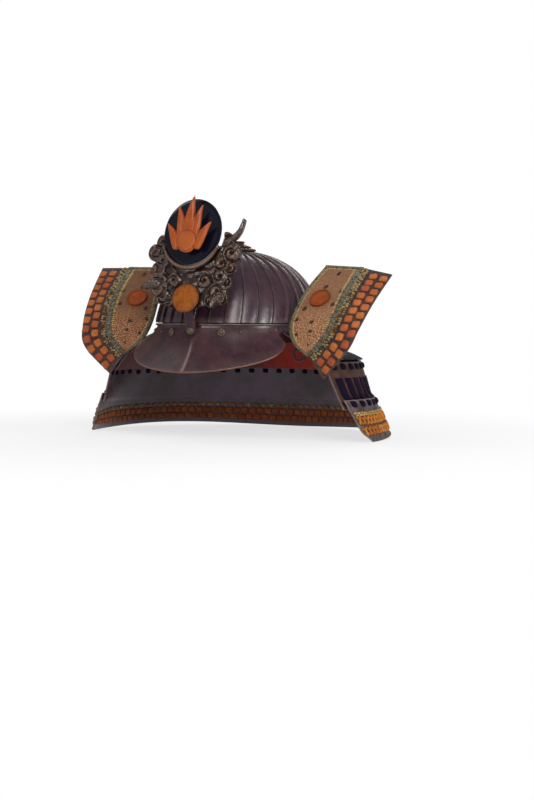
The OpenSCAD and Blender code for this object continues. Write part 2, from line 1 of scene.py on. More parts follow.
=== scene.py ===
"""A samurai helmet: a ribbed bowl, a visor, turned-back wings, a laced neck guard and a carved crest.

Lengths are in metres. +Z is up, -Y is the front and +X is the wearer's left. The origin lies on the centre
line, level with the lower edge of the base band.
"""
import logging
import math
from dataclasses import dataclass
from enum import Enum
from typing import Callable, Dict, List, Optional, Sequence, Tuple

import bpy
import numpy as np
from mathutils import Matrix, Vector


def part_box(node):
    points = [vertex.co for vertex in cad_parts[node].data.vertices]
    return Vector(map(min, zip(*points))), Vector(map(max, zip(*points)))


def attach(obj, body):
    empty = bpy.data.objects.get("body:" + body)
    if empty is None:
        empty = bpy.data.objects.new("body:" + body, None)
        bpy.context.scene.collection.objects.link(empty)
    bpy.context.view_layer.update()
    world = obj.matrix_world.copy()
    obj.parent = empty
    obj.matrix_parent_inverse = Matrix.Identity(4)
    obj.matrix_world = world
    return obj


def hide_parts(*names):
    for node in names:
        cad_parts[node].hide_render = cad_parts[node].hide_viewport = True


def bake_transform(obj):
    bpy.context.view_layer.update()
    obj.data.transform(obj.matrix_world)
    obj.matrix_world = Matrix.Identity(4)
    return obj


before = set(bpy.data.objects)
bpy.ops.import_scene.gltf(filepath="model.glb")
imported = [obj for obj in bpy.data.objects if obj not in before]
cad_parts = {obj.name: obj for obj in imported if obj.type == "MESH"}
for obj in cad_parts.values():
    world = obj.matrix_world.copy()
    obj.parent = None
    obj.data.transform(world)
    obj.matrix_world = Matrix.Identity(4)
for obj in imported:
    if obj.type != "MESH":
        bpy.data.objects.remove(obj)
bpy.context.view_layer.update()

log = logging.getLogger("helmet")

Array = np.ndarray
Object = bpy.types.Object
Socket = bpy.types.NodeSocket
Pair = Tuple[float, float]
Triple = Tuple[float, float, float]
Colour = Triple
Surface = Callable[[Array, Array], Array]
Path = Callable[[Array], Tuple[Array, Array]]
Marks = Dict[str, Surface]

MM = 0.001
# The gap between solids that touch, the step of a surface's slopes and the reach of a merge
SKIN = 0.05 * MM
STEP = 0.002
MERGE = 1e-6
# The length of one unit of a UV map, and the faces across a moulding
UV_UNIT = 0.01
STRIP_FACES = 8
# A Mix node's sockets for colours
COLOUR_A, COLOUR_B, COLOUR_OUT = 6, 7, 2
UNWORN: Marks = {"wear": lambda x, y: 0 * x}


class Side(Enum):
    """Which side of the wearer a piece is on."""

    LEFT = 1
    RIGHT = -1

    @property
    def word(self) -> str:
        """The side's name as a piece's name has it."""
        return self.name.lower()


def unit(v: Array) -> Array:
    """Vectors of length one."""
    return v / np.maximum(np.linalg.norm(v, axis=-1, keepdims=True), 1e-12)


def stack(x: Array, y: Array, z: Array) -> Array:
    """Points from three arrays of one shape."""
    return np.stack(np.broadcast_arrays(x, y, z), -1).astype(float)


def smooth(low: float, high: float, x: Array) -> Array:
    """A smooth step from 0 at low to 1 at high."""
    t = np.clip((x - low) / (high - low), 0.0, 1.0)
    return t * t * (3 - 2 * t)


def normal(surface: Surface, u: Array, v: Array) -> Array:
    """A surface's outward normals, from its own slopes."""
    across = surface(u + STEP, v) - surface(u - STEP, v)
    down = surface(u, v + STEP) - surface(u, v - STEP)
    return unit(np.cross(across, down))


def above(surface: Surface, u: Array, v: Array, d: Array) -> Array:
    """Points at height d over a surface.

    Args:
        surface: The function of (u, v).
        u: The first parameter.
        v: The second parameter.
        d: Height along the normal, in metres.

    Returns:
        One point for each (u, v).
    """
    return surface(u, v) + normal(surface, u, v) * np.asarray(d, float)[..., None]


def catmull(rail: Array, k: Array) -> Array:
    """A smooth curve through a rail's points, with k from 0 to 1."""
    n = len(rail) - 1
    i = np.clip(np.floor(k * n).astype(int), 0, n - 1)
    t = (k * n - i)[..., None]
    a, b, c, d = (rail[np.clip(i + j, 0, n)] for j in (-1, 0, 1, 2))
    return 0.5 * (2 * b + (c - a) * t + (2 * a - 5 * b + 4 * c - d) * t * t
                  + (3 * b - a - 3 * c + d) * t ** 3)


@dataclass(frozen=True)
class Bowl:
    """The bowl's driving sizes and its surfaces."""

    half_w: float = 108 * MM
    half_d: float = 124 * MM
    band_h: float = 26 * MM
    band_t: float = 2.2 * MM
    dome_h: float = 100 * MM
    fullness: float = 2.17
    swell: float = 10 * MM
    plates: int = 32
    plate_t: float = 2 * MM
    rib_h: float = 3 * MM
    rib_t: float = 1.4 * MM
    reach: float = 0.9
    skirt: float = 100 * MM

    def oval(self, half_w: Array, half_d: Array, f: Array, z: Array) -> Array:
        """Points of an upright oval, with f in degrees from the front."""
        turn = np.radians(f)
        return stack(half_w * np.sin(turn), -half_d * np.cos(turn), z)

    def dome(self, f: Array, k: Array) -> Array:
        """The plates' outer surface, with k from the rim to the crown."""
        angle = np.radians(90 * k)
        c = np.cos(angle) ** (2 / self.fullness)
        h = np.sin(np.maximum(angle, 0)) ** (2 / self.fullness)
        drop = np.minimum(k, 0) * self.skirt
        points = self.oval(self.half_w * c, self.half_d * c, f, self.band_h + self.dome_h * h + drop)
        points[..., 1] += 4 * self.swell * h * (1 - h)
        return points

    def band(self, f: Array, k: Array) -> Array:
        """The base band's outer wall, with k from its lower edge to its upper."""
        return self.oval(self.half_w, self.half_d, f, self.band_h * k)


@dataclass(frozen=True)
class VisorShape:
    """The visor's driving sizes and its surface."""

    bowl: Bowl
    end: float = 59.0
    corner: float = 1.4
    top_z: float = 20 * MM
    out: float = 34 * MM
    rim_z: float = -39 * MM
    t: float = 1.8 * MM
    ridge: float = 1.5 * MM
    edging: float = 0.03

    def face(self, f: Array, v: Array) -> Array:
        """The outer face, with f in degrees and v from the upper edge to the rim."""
        gap = self.t + SKIN
        u = np.minimum(1, np.abs(f) / (self.end + self.corner))
        out = self.out * (1 - u ** 8) ** 0.3 * np.maximum(v, 0) ** 1.8
        drop = (self.top_z - self.rim_z) * (1 - u ** 1.6) ** 0.35
        ridge = self.ridge * np.maximum(0, 1 - np.abs(f) / 3) * np.minimum(1, 4 * v)
        return self.bowl.oval(self.bowl.half_w + gap + out, self.bowl.half_d + gap + out + ridge,
                              -f, self.top_z - drop * v)


@dataclass(frozen=True)
class GuardShape:
    """The four lames' driving sizes and their surfaces."""

    bowl: Bowl
    t: float = 2.2 * MM
    top_z: float = 14 * MM
    drop: Tuple[float, ...] = (30 * MM, 32 * MM, 63 * MM, 56 * MM)
    flare: Tuple[float, ...] = (43 * MM, 27 * MM, 19 * MM, 24 * MM)
    back_flare: Tuple[float, ...] = (14 * MM, 11 * MM, 12 * MM, 14 * MM)
    lap: Tuple[float, ...] = (0, 7 * MM, 16 * MM, 13 * MM)
    step: Tuple[float, ...] = (0, 8 * MM, 14.5 * MM, 5 * MM)
    end_top: Tuple[float, ...] = (64.0, 64.5, 66.0, 72.0)
    end_low: Tuple[float, ...] = (62.5, 66.0, 72.0, 78.0)
    crown: float = 4 * MM
    arch: float = 5 * MM

    def top(self, i: int) -> Array:
        """Half width, half depth and height of a lame's upper edge."""
        if i == 0:
            off = self.t + SKIN
            return np.array([self.bowl.half_w + off, self.bowl.half_d + off, self.top_z])
        k = 1 - self.lap[i] / self.drop[i - 1]
        return self.top(i - 1) * (1 - k) + self.low(i - 1) * k + np.array([self.step[i], self.step[i], 0])

    def low(self, i: int) -> Array:
        """Half width, half depth and height of a lame's lower edge."""
        return self.top(i) + np.array([self.flare[i], self.back_flare[i], -self.drop[i]])

    def lame(self, i: int) -> Surface:
        """The outer face of a lame, with u from -1 to 1 round the back and v downwards."""
        top, low = self.top(i), self.low(i)

        def face(u: Array, v: Array) -> Array:
            r = top * (1 - v[..., None]) + low * v[..., None]
            end = self.end_top[i] * (1 - v) + self.end_low[i] * v
            f = 180 - u * (180 - end)
            swell = self.crown * np.sin(np.pi * np.clip(v, 0, 1)) if i == 0 else 0 * v
            arch = self.arch * np.maximum(0, v) * np.sin(np.pi * u) ** 2 if i == 3 else 0 * v
            return self.bowl.oval(r[..., 0] + swell * 0.6, r[..., 1] + swell * 0.6, f,
                                  r[..., 2] + swell + arch)

        return face


@dataclass(frozen=True)
class WingShape:
    """A wing's three rails, from tip to top in millimetres, drawn for the wearer's left, and its two faces."""

    guard: GuardShape
    rise: float = 0.0
    lean: float = 0.3
    seam_share: float = 0.35
    inner: Tuple[Triple, ...] = ((2, -4, 1), (-19, 1, 18), (-28, 13, 43), (-22, 45, 84), (-7, 87, 123))
    seam: Tuple[Triple, ...] = ((9, -5, -3), (35, -5, 25), (44, 11, 55), (48, 37, 85), (51, 83, 119))
    outer: Tuple[Triple, ...] = ((30, -7, -31), (67, -15, 7), (78, -2, 36), (86, 31, 72), (93, 80, 110))
    t: float = 2 * MM

    def rail(self, points: Tuple[Triple, ...], share: float = 0.0) -> Array:
        """A rail, placed from the top lame's front corner, with its share of the outer corner's rise."""
        root = self.guard.lame(0)(np.array([1.0]), np.array([1.0]))[0]
        k = np.linspace(0, 1, len(points))[:, None]
        return root + np.array(points) * MM + self.rise * share * k ** 2 * np.array([self.lean, 0, 1])

    def face(self, first: Array, last: Array) -> Surface:
        """The face between two rails, with u across and v up."""
        def at(u: Array, v: Array) -> Array:
            return catmull(first, v) * (1 - u[..., None]) + catmull(last, v) * u[..., None]
        return at

    @property
    def upper(self) -> Surface:
        """The leather-covered half."""
        return self.face(self.rail(self.inner), self.rail(self.seam, self.seam_share))

    @property
    def lower(self) -> Surface:
        """The laced half."""
        return self.face(self.rail(self.seam, self.seam_share), self.rail(self.outer, 1.0))


class Tree:
    """A node tree being wired, for a material or the world."""

    def __init__(self, owner: bpy.types.ID) -> None:
        """Empties the owner's tree."""
        owner.use_nodes = True
        self.tree = owner.node_tree
        self.tree.nodes.clear()

    def add(self, kind: str, inputs: Optional[Dict[str, object]] = None,
            **settings: object) -> bpy.types.Node:
        """Adds a node.

        Args:
            kind: The node's type, without its ShaderNode prefix.
            inputs: Values or sockets for its inputs, by name or by number.
            **settings: The node's own properties.

        Returns:
            The node.
        """
        node = self.tree.nodes.new("ShaderNode" + kind)
        for key, value in settings.items():
            setattr(node, key, value)
        for key, value in (inputs or {}).items():
            self.put(node.inputs[key], value)
        return node

    def put(self, socket: Socket, value: object) -> None:
        """Links a socket to a socket, or gives it a value."""
        if isinstance(value, Socket):
            self.tree.links.new(value, socket)
        elif isinstance(value, tuple) and socket.type == "RGBA":
            socket.default_value = (*value, 1.0)
        else:
            socket.default_value = value

    def place(self, scale: Triple = (1, 1, 1), turn: float = 0.0, uv: bool = False) -> Socket:
        """Object or UV coordinates, scaled and turned about Z."""
        source = self.add("TexCoord").outputs["UV" if uv else "Object"]
        node = self.add("Mapping", {"Vector": source})
        node.inputs["Scale"].default_value = scale
        node.inputs["Rotation"].default_value = (0, 0, math.radians(turn))
        return node.outputs["Vector"]

    def noise(self, place: Socket, scale: float, detail: float = 3.0, rough: float = 0.55) -> Socket:
        """Smooth noise, from 0 to 1."""
        node = self.add("TexNoise", {"Vector": place, "Scale": scale, "Detail": detail, "Roughness": rough})
        return node.outputs["Fac"]

    def cells(self, place: Socket, scale: float, random: float = 1.0) -> Socket:
        """Distance to the nearest of points scattered over a flat map."""
        inputs = {"Vector": place, "Scale": scale, "Randomness": random}
        return self.add("TexVoronoi", inputs, voronoi_dimensions="2D").outputs["Distance"]

    def waves(self, place: Socket, scale: float, warp: float = 0.0, axis: str = "X") -> Socket:
        """Parallel ridges, from 0 to 1."""
        inputs = {"Vector": place, "Scale": scale, "Distortion": warp}
        return self.add("TexWave", inputs, bands_direction=axis).outputs["Fac"]

    def braid(self, turn: float, scale: float, warp: float) -> Socket:
        """Two sets of ridges on the UV map, slanting both ways."""
        one, two = (self.waves(self.place(turn=way, uv=True), scale, warp) for way in (turn, -turn))
        return self.maths("MAXIMUM", one, two)

    def ramp(self, value: Socket, low: float, high: float) -> Socket:
        """A smooth step of a value."""
        inputs = {"Value": value, "From Min": low, "From Max": high}
        return self.add("MapRange", inputs, interpolation_type="SMOOTHSTEP").outputs["Result"]

    def scaled(self, value: Socket, low: float, high: float) -> Socket:
        """A value from 0 to 1, spread from low to high."""
        return self.add("MapRange", {"Value": value, "To Min": low, "To Max": high}).outputs["Result"]

    def maths(self, kind: str, a: object, b: object) -> Socket:
        """The result of an operation on two values."""
        return self.add("Math", {0: a, 1: b}, operation=kind).outputs[0]

    def blend(self, factor: object, a: object, b: object) -> Socket:
        """A mix of two colours."""
        return self.add("Mix", {"Factor": factor, COLOUR_A: a, COLOUR_B: b},
                        data_type="RGBA").outputs[COLOUR_OUT]

    def patches(self, value: Socket, first: Colour, others: Sequence[Colour],
                steps: Sequence[Pair]) -> Socket:
        """Colours that take over from each other as a value grows."""
        colour = first
        for other, (low, high) in zip(others, steps):
            colour = self.blend(self.ramp(value, low, high), colour, other)
        return colour

    def mark(self, name: str) -> Socket:
        """A number stored on the mesh."""
        return self.add("Attribute", attribute_name=name).outputs["Fac"]

    def bump(self, height: Socket, depth: float, before: Optional[Socket] = None) -> Socket:
        """A bumped normal, with the depth in metres."""
        node = self.add("Bump", {"Height": height, "Strength": 1.0, "Distance": depth})
        if before is not None:
            self.put(node.inputs["Normal"], before)
        return node.outputs["Normal"]

    def surface(self, shader: Socket) -> None:
        """Ends the tree with a surface."""
        self.add("OutputMaterial", {"Surface": shader})

    def principled(self, **inputs: object) -> None:
        """Ends the tree with a Principled surface."""
        names = {key.replace("_", " "): value for key, value in inputs.items()}
        self.surface(self.add("BsdfPrincipled", names).outputs[0])


def dim(colour: Colour, share: float) -> Colour:
    """A darker shade of a colour."""
    return tuple(share * c for c in colour)


@dataclass(frozen=True)
class Finish:
    """A finish: its name and its main colour."""

    name: str
    colour: Colour

    def make(self) -> bpy.types.Material:
        """The finish's material, made once."""
        name = f"{self.name}_finish"
        old = bpy.data.materials.get(name)
        if old:
            return old
        material = bpy.data.materials.new(name)
        self.wire(Tree(material))
        material.diffuse_color = (*self.colour, 1.0)
        return material

    def wire(self, tree: Tree) -> None:
        """Wires the material's nodes."""
        raise NotImplementedError


@dataclass(frozen=True)
class Lacquer(Finish):
    """Old lacquer: two close shades in soft clouds, a third colour where it is marked, with a brushed ripple. The
    mark holds worn edges, and also painted highlights on the visor and the carvings and painted shade on the red
    lames' inner faces.
    """

    second: Colour = (0.05, 0.03, 0.03)
    # The third colour, where the mark is: worn lacquer, a painted highlight on some finishes and a painted shade on
    # others
    worn: Colour = (0.3, 0.17, 0.1)
    rough: float = 0.34
    spread: float = 0.12
    gloss: float = 0.5
    cloud: float = 38.0
    ripple: float = 0.25 * MM
    wear: float = 0.5

    def wire(self, tree: Tree) -> None:
        """Wires clouds, the marked third colour (wear and painted light), roughness and ripple."""
        place = tree.place()
        clouds = tree.ramp(tree.noise(place, self.cloud, 5.0, 0.6), 0.35, 0.68)
        grain = tree.noise(place, 900.0, 2.0)
        colour = tree.blend(clouds, self.colour, self.second)
        colour = tree.blend(tree.scaled(grain, 0.0, 0.25), colour, dim(self.colour, 0.5))
        patches = tree.ramp(tree.noise(place, 160.0, 6.0, 0.7), 0.52, 0.7)
        edge = tree.maths("MULTIPLY", tree.mark("wear"),
                          tree.scaled(tree.noise(place, 300.0, 4.0, 0.7), 0.3, 1.3))
        scuff = tree.maths("MULTIPLY", patches, 0.12 * self.wear)
        # The mark blends to the third colour: worn edges, painted highlights on the visor and carvings, painted
        # shade on the red lames' inner faces
        worn = tree.maths("MINIMUM", tree.maths("ADD", tree.maths("MULTIPLY", edge, self.wear), scuff), 1.0)
        colour = tree.blend(worn, colour, self.worn)
        shine = tree.scaled(tree.noise(place, 70.0, 4.0), self.rough - self.spread, self.rough + self.spread)
        wave = tree.bump(tree.noise(place, 55.0, 2.0), self.ripple * 2)
        fine = tree.bump(tree.noise(place, 500.0, 3.0), self.ripple * 0.15, wave)
        tree.principled(Base_Color=colour, Roughness=shine, Specular_IOR_Level=self.gloss, Normal=fine)


@dataclass(frozen=True)
class OldMetal(Finish):
    """Old metal, bright where it is rubbed and dark where it isn't."""

    dark: Colour = (0.1, 0.07, 0.05)
    rough: float = 0.38
    patina: float = 0.5
    pits: float = 0.2 * MM
    scale: float = 120.0

    def wire(self, tree: Tree) -> None:
        """Wires patina, roughness and pits."""
        place = tree.place()
        cloud = tree.noise(place, self.scale, 6.0, 0.65)
        dull = tree.ramp(cloud, 0.5 - 0.3 * (1 - self.patina), 0.8 - 0.3 * (1 - self.patina))
        worn = tree.maths("MULTIPLY", tree.mark("wear"), 0.8)
        dull = tree.maths("MAXIMUM", tree.maths("SUBTRACT", tree.maths("SUBTRACT", 1.0, dull), worn), 0.0)
        colour = tree.blend(tree.maths("MULTIPLY", dull, self.patina), self.colour, self.dark)
        rough = tree.scaled(cloud, self.rough - 0.12, self.rough + 0.2)
        shape = tree.bump(tree.noise(place, self.scale * 4, 4.0, 0.6), self.pits)
        tree.principled(Base_Color=colour, Metallic=0.85, Roughness=rough, Normal=shape)


@dataclass(frozen=True)
class Silk(Finish):
    """Braided silk: slanting strands, painted shade low on each pad where the pieces meet, and a little different
    in each piece.
    """

    second: Colour = (0.3, 0.1, 0.05)
    third: Colour = (0.3, 0.1, 0.05)
    strand: float = 9.0
    slant: float = 38.0
    depth: float = 0.3 * MM
    sheen: float = 0.03
    # Strength of the painted shade low on each pad
    soil: float = 0.8
    gloss: float = 0.25

    def wire(self, tree: Tree) -> None:
        """Wires the strands, their tones, the painted shade low on each pad, and their sheen."""
        braid = tree.braid(self.slant, self.strand, 0.6)
        place = tree.place()
        tone = tree.mark("tone")
        stain = tree.ramp(tree.noise(place, 160.0, 5.0, 0.7), 0.35, 0.65)
        colour = tree.patches(tone, self.colour, (self.second, self.third), ((0.2, 0.8), (0.82, 0.86)))
        colour = tree.blend(tree.maths("MULTIPLY", stain, 0.45), colour, dim(self.colour, 0.55))
        colour = tree.blend(tree.scaled(braid, 0.5, 0.0), colour, dim(self.colour, 0.3))
        # Painted shade: each pad darkens towards its low edges, where it meets the surface and its neighbours.
        low = tree.scaled(tree.ramp(tree.mark("height"), 0.1, 0.75), self.soil, 0.0)
        colour = tree.blend(low, colour, tuple(0.12 * c + 0.002 for c in self.colour))
        shape = tree.bump(braid, self.depth)
        tree.principled(Base_Color=colour, Roughness=0.55, Specular_IOR_Level=self.gloss, Normal=shape,
                        Sheen_Weight=self.sheen, Sheen_Roughness=0.4)


@dataclass(frozen=True)
class PrintedLeather(Finish):
    """Soft leather, printed all over with small dots and a few dark flowers, and faded in patches."""

    ground: Colour = (0.31, 0.165, 0.095)
    bare: Colour = (0.52, 0.33, 0.2)
    dot: Colour = (0.06, 0.022, 0.012)
    flower: Colour = (0.025, 0.012, 0.008)

    def wire(self, tree: Tree) -> None:
        """Wires the ground, the print and the grain."""
        place = tree.place()
        flat = tree.place(uv=True)
        fade = tree.ramp(tree.mark("fade"), 0.3, 0.72)
        ground = tree.blend(tree.ramp(tree.noise(place, 45.0, 4.0, 0.6), 0.3, 0.7), self.colour, self.ground)
        ground = tree.blend(tree.maths("SUBTRACT", 1.0, fade), ground, self.bare)
        grain = tree.noise(place, 700.0, 3.0)
        ground = tree.blend(tree.scaled(grain, 0.0, 0.3), ground, dim(self.colour, 0.55))
        dots = tree.ramp(tree.cells(flat, 3.9, 0.8), 0.46, 0.34)
        rubbed = tree.ramp(tree.noise(place, 110.0, 4.0, 0.7), 0.8, 0.5)
        ink = tree.maths("MULTIPLY", dots, tree.maths("MULTIPLY", rubbed, tree.scaled(fade, 0.97, 0.3)))
        colour = tree.blend(ink, ground, self.dot)
        petals = tree.maths("ADD", tree.cells(flat, 0.47, 0.5),
                            tree.scaled(tree.noise(flat, 6.0, 3.0), -0.07, 0.07))
        colour = tree.blend(tree.scaled(tree.ramp(petals, 0.16, 0.11), 0.0, 0.95), colour, self.flower)
        shape = tree.bump(grain, 0.08 * MM, tree.bump(dots, 0.05 * MM))
        tree.principled(Base_Color=colour, Roughness=0.66, Specular_IOR_Level=0.2, Normal=shape)


@dataclass(frozen=True)
class MixedBraid(Finish):
    """A braid whose colour changes in patches along it."""

    others: Tuple[Colour, ...] = ((0.1, 0.13, 0.15), (0.3, 0.26, 0.12), (0.06, 0.09, 0.12))
    scale: float = 1.1
    specks: float = 0.5

    def wire(self, tree: Tree) -> None:
        """Wires the patches and the weave."""
        flat = tree.place(uv=True)
        patch = tree.noise(tree.place((0.8, 0.5, 1), uv=True), self.scale, 1.0)
        colour = tree.patches(patch, self.colour, self.others, ((0.42, 0.45), (0.5, 0.53), (0.57, 0.6)))
        weave = tree.braid(45, 7.0, 0.8)
        ribs = tree.waves(tree.place(turn=0, uv=True), 2.3, 0.4)
        colour = tree.blend(tree.scaled(ribs, 0.5, 0.0), colour, (0.03, 0.025, 0.02))
        colour = tree.blend(tree.scaled(weave, 0.5, 0.0), colour, (0.03, 0.025, 0.018))
        holes = tree.ramp(tree.cells(flat, 6.0), 0.36, 0.2)
        colour = tree.blend(tree.maths("MULTIPLY", holes, self.specks), colour, (0.02, 0.016, 0.012))
        bright = tree.ramp(tree.cells(tree.place(turn=20, uv=True), 7.5), 0.26, 0.12)
        colour = tree.blend(tree.maths("MULTIPLY", bright, 0.75), colour, (0.6, 0.5, 0.27))
        tree.principled(Base_Color=colour, Roughness=0.8, Specular_IOR_Level=0.2,
                        Normal=tree.bump(weave, 0.3 * MM), Sheen_Weight=0.05)


@dataclass(frozen=True)
class Knots(Finish):
    """Short cords of several colours, one colour to each knot, with painted shade low on each knot."""

    others: Tuple[Colour, ...] = ((0.14, 0.07, 0.04), (0.42, 0.2, 0.07), (0.12, 0.14, 0.12))

    def wire(self, tree: Tree) -> None:
        """Wires one colour for each knot's own number."""
        tone = tree.mark("tone")
        colour = tree.patches(tone, self.colour, self.others, ((0.42, 0.46), (0.6, 0.64), (0.84, 0.88)))
        strands = tree.waves(tree.place(turn=30, uv=True), 11.0, 1.0)
        colour = tree.blend(tree.scaled(strands, 0.5, 0.0), colour, (0.05, 0.035, 0.02))
        # Painted shade: each knot darkens towards its low edges.
        colour = tree.blend(tree.scaled(tree.ramp(tree.mark("height"), 0.05, 0.6), 0.8, 0.0), colour,
                            (0.012, 0.009, 0.006))
        tree.principled(Base_Color=colour, Roughness=0.75, Specular_IOR_Level=0.2,
                        Normal=tree.bump(strands, 0.3 * MM), Sheen_Weight=0.05)


@dataclass(frozen=True)
class Cloth(Finish):
    """Plain woven cloth."""

    thread: float = 1400.0

    def wire(self, tree: Tree) -> None:
        """Wires the weave and the stains."""
        place = tree.place()
        weave = tree.maths("ADD", tree.waves(place, self.thread * 0.2, 1.5, "X"),
                           tree.waves(place, self.thread * 0.2, 1.5, "Z"))
        stain = tree.ramp(tree.noise(place, 30.0, 5.0), 0.3, 0.75)
        colour = tree.blend(stain, self.colour, dim(self.colour, 0.5))
        colour = tree.blend(tree.scaled(weave, 0.25, 0.0), colour, dim(self.colour, 0.4))
        tree.principled(Base_Color=colour, Roughness=0.9, Specular_IOR_Level=0.15,
                        Normal=tree.bump(weave, 0.2 * MM), Sheen_Weight=0.2)


RUSSET = Lacquer("russet_lacquer", (0.0275, 0.0105, 0.019), (0.047, 0.0185, 0.028), (0.2, 0.14, 0.125),
                 0.28, 0.08, 0.55)
# On the visor its pale third colour makes the painted highlight down the ridge and the painted sheen near the rim,
# besides the worn rim edge.
VISOR_RUSSET = Lacquer("visor_lacquer", (0.03, 0.012, 0.018), (0.06, 0.025, 0.031), (0.38, 0.28, 0.26),
                       0.42, 0.1, 0.2, 30.0)
LAME_DARK = Lacquer("dark_lame_lacquer", (0.022, 0.012, 0.015), (0.04, 0.022, 0.023), (0.17, 0.115, 0.105),
                    0.5, 0.1, 0.2)
LAME_WORN = Lacquer("worn_lame_lacquer", (0.034, 0.0165, 0.0155), (0.088, 0.04, 0.022), (0.2, 0.135, 0.115),
                    0.5, 0.1, 0.2, 45.0, wear=0.9)
LAME_PATCHY = Lacquer("patchy_lame_lacquer", (0.046, 0.031, 0.036), (0.15, 0.115, 0.118),
                      (0.2, 0.14, 0.125), 0.46, 0.1, 0.3, 60.0, wear=0.9)
# Its pale bluish second shade, in large clouds, is painted reflection as well as uneven tone.
LAME_INSIDE = Lacquer("inner_lame_lacquer", (0.032, 0.012, 0.015), (0.095, 0.06, 0.096),
                      (0.13, 0.085, 0.08), 0.3, 0.08, 0.4, 22.0)
# Its third colour is a dark red-brown: the marked edges darken towards it, and the wearer's right half of the inner
# faces does too, as painted shade.
LAME_RED = Lacquer("red_lame_lacquer", (0.54, 0.024, 0.004), (0.34, 0.016, 0.004), (0.028, 0.01, 0.013),
                   0.4, 0.1, 0.25, wear=0.7)
WING_DARK = Lacquer("wing_ground_lacquer", (0.042, 0.028, 0.027), (0.07, 0.047, 0.04), (0.15, 0.08, 0.05),
                    0.55, 0.1, 0.2, 90.0)
BADGE_RED = Lacquer("red_orange_lacquer", (0.31, 0.062, 0.006), (0.2, 0.038, 0.006), (0.1, 0.025, 0.01),
                    0.5, 0.1, 0.1, 120.0, wear=0.8)
# Its paler third colour lightens the ornament's high points: rubbed lacquer and painted highlight both.
FLAME_RED = Lacquer("flame_lacquer", (0.37, 0.075, 0.012), (0.27, 0.048, 0.01), (0.5, 0.19, 0.04), 0.34,
                    0.1, 0.35, 70.0)
DISC_BLACK = Lacquer("blue_black_lacquer", (0.002, 0.003, 0.009), (0.004, 0.0048, 0.014),
                     (0.05, 0.05, 0.07), 0.16, 0.04, 0.4, ripple=0.05 * MM)
DISC_GOLD = Lacquer("orange_gold_lacquer", (0.31, 0.086, 0.004), (0.17, 0.04, 0.003), (0.09, 0.024, 0.006),
                    0.42, 0.12, 0.3, 150.0, wear=1.0)
# Its paler third colour lightens the carving's high points: rubbed lacquer and painted highlight both.
CARVING = Lacquer("carved_bronze", (0.0165, 0.0072, 0.0042), (0.044, 0.0185, 0.0105), (0.185, 0.095, 0.055),
                  0.21, 0.08, 0.62, 120.0, wear=1.0)
GILT = OldMetal("old_gilt", (0.17, 0.095, 0.045), (0.035, 0.022, 0.017), 0.4, 0.85)
WORN_GILT = OldMetal("worn_gilt", (0.185, 0.135, 0.092), (0.06, 0.042, 0.03), 0.42, 0.75)
COPPER = OldMetal("copper_edging", (0.2, 0.1, 0.075), (0.09, 0.045, 0.036), 0.36, 0.5)
RIM_METAL = OldMetal("rim_moulding", (0.15, 0.11, 0.1), (0.05, 0.034, 0.034), 0.36, 0.5)
IRON = OldMetal("dark_metal", (0.05, 0.04, 0.044), (0.018, 0.013, 0.013), 0.42, 0.5)
ORANGE = Silk("orange_silk", (0.58, 0.165, 0.04), (0.46, 0.105, 0.026), (0.42, 0.075, 0.03), 5.0, soil=0.97)
AMBER = Silk("amber_silk", (0.74, 0.25, 0.03), (0.56, 0.15, 0.016), (0.8, 0.36, 0.08), 9.0, soil=0.98)
BEADS = Silk("gold_bead_silk", (0.7, 0.42, 0.12), (0.56, 0.28, 0.06), (0.72, 0.54, 0.28), 12.0, soil=0.9)
BROWN = Silk("inner_orange_silk", (0.46, 0.115, 0.018), (0.34, 0.07, 0.012), (0.42, 0.09, 0.022), 6.0,
             soil=0.95)
INNER_BEADS = Silk("inner_bead_silk", (0.46, 0.22, 0.05), (0.36, 0.13, 0.03), (0.5, 0.33, 0.13), 8.0,
                   soil=0.95)
BLUE = Silk("blue_silk", (0.007, 0.003, 0.015), (0.013, 0.006, 0.026), (0.01, 0.005, 0.016), 7.0, sheen=0.0,
            soil=0.3, gloss=0.05)
STITCH = Silk("cream_stitches", (0.8, 0.62, 0.27), (0.6, 0.43, 0.15), (0.3, 0.2, 0.07), 10.0, soil=0.6)
LEATHER = PrintedLeather("printed_hide", (0.25, 0.119, 0.057), (0.3, 0.152, 0.081), (0.525, 0.265, 0.13),
                         (0.055, 0.02, 0.011))
# A darker copy of the printed hide for the wearer's right wing: painted shade.
LEATHER_PAINTED_SHADE = PrintedLeather("darker_printed_hide", (0.14, 0.06, 0.028), (0.19, 0.09, 0.045),
                             (0.44, 0.2, 0.095), (0.045, 0.016, 0.009))
BORDER = MixedBraid("grey_green_braid", (0.2, 0.165, 0.085),
                    ((0.1, 0.1, 0.065), (0.24, 0.2, 0.09), (0.06, 0.06, 0.05)), specks=0.8)
EDGE_BRAID = MixedBraid("guard_edge_braid", (0.06, 0.05, 0.045),
                        ((0.13, 0.13, 0.1), (0.03, 0.025, 0.03), (0.1, 0.085, 0.05)), specks=0.9)
PATCHED = MixedBraid("patched_braid", (0.15, 0.135, 0.085),
                     ((0.06, 0.045, 0.035), (0.26, 0.245, 0.16), (0.05, 0.075, 0.085)), specks=0.9)
KNOTS = Knots("mixed_knots", (0.6, 0.46, 0.22), ((0.16, 0.08, 0.03), (0.5, 0.26, 0.07), (0.1, 0.1, 0.08)))
LINING = Cloth("lining_weave", (0.24, 0.18, 0.12))
LINING_LEATHER = Lacquer("lining_hide", (0.1, 0.045, 0.025), (0.07, 0.03, 0.018), (0.2, 0.1, 0.06), 0.6,
                         0.1, 0.3)

# A wing's piece, with its finish, the last words of its node's name and its slot
Piece = Tuple[Object, Finish, str, str]


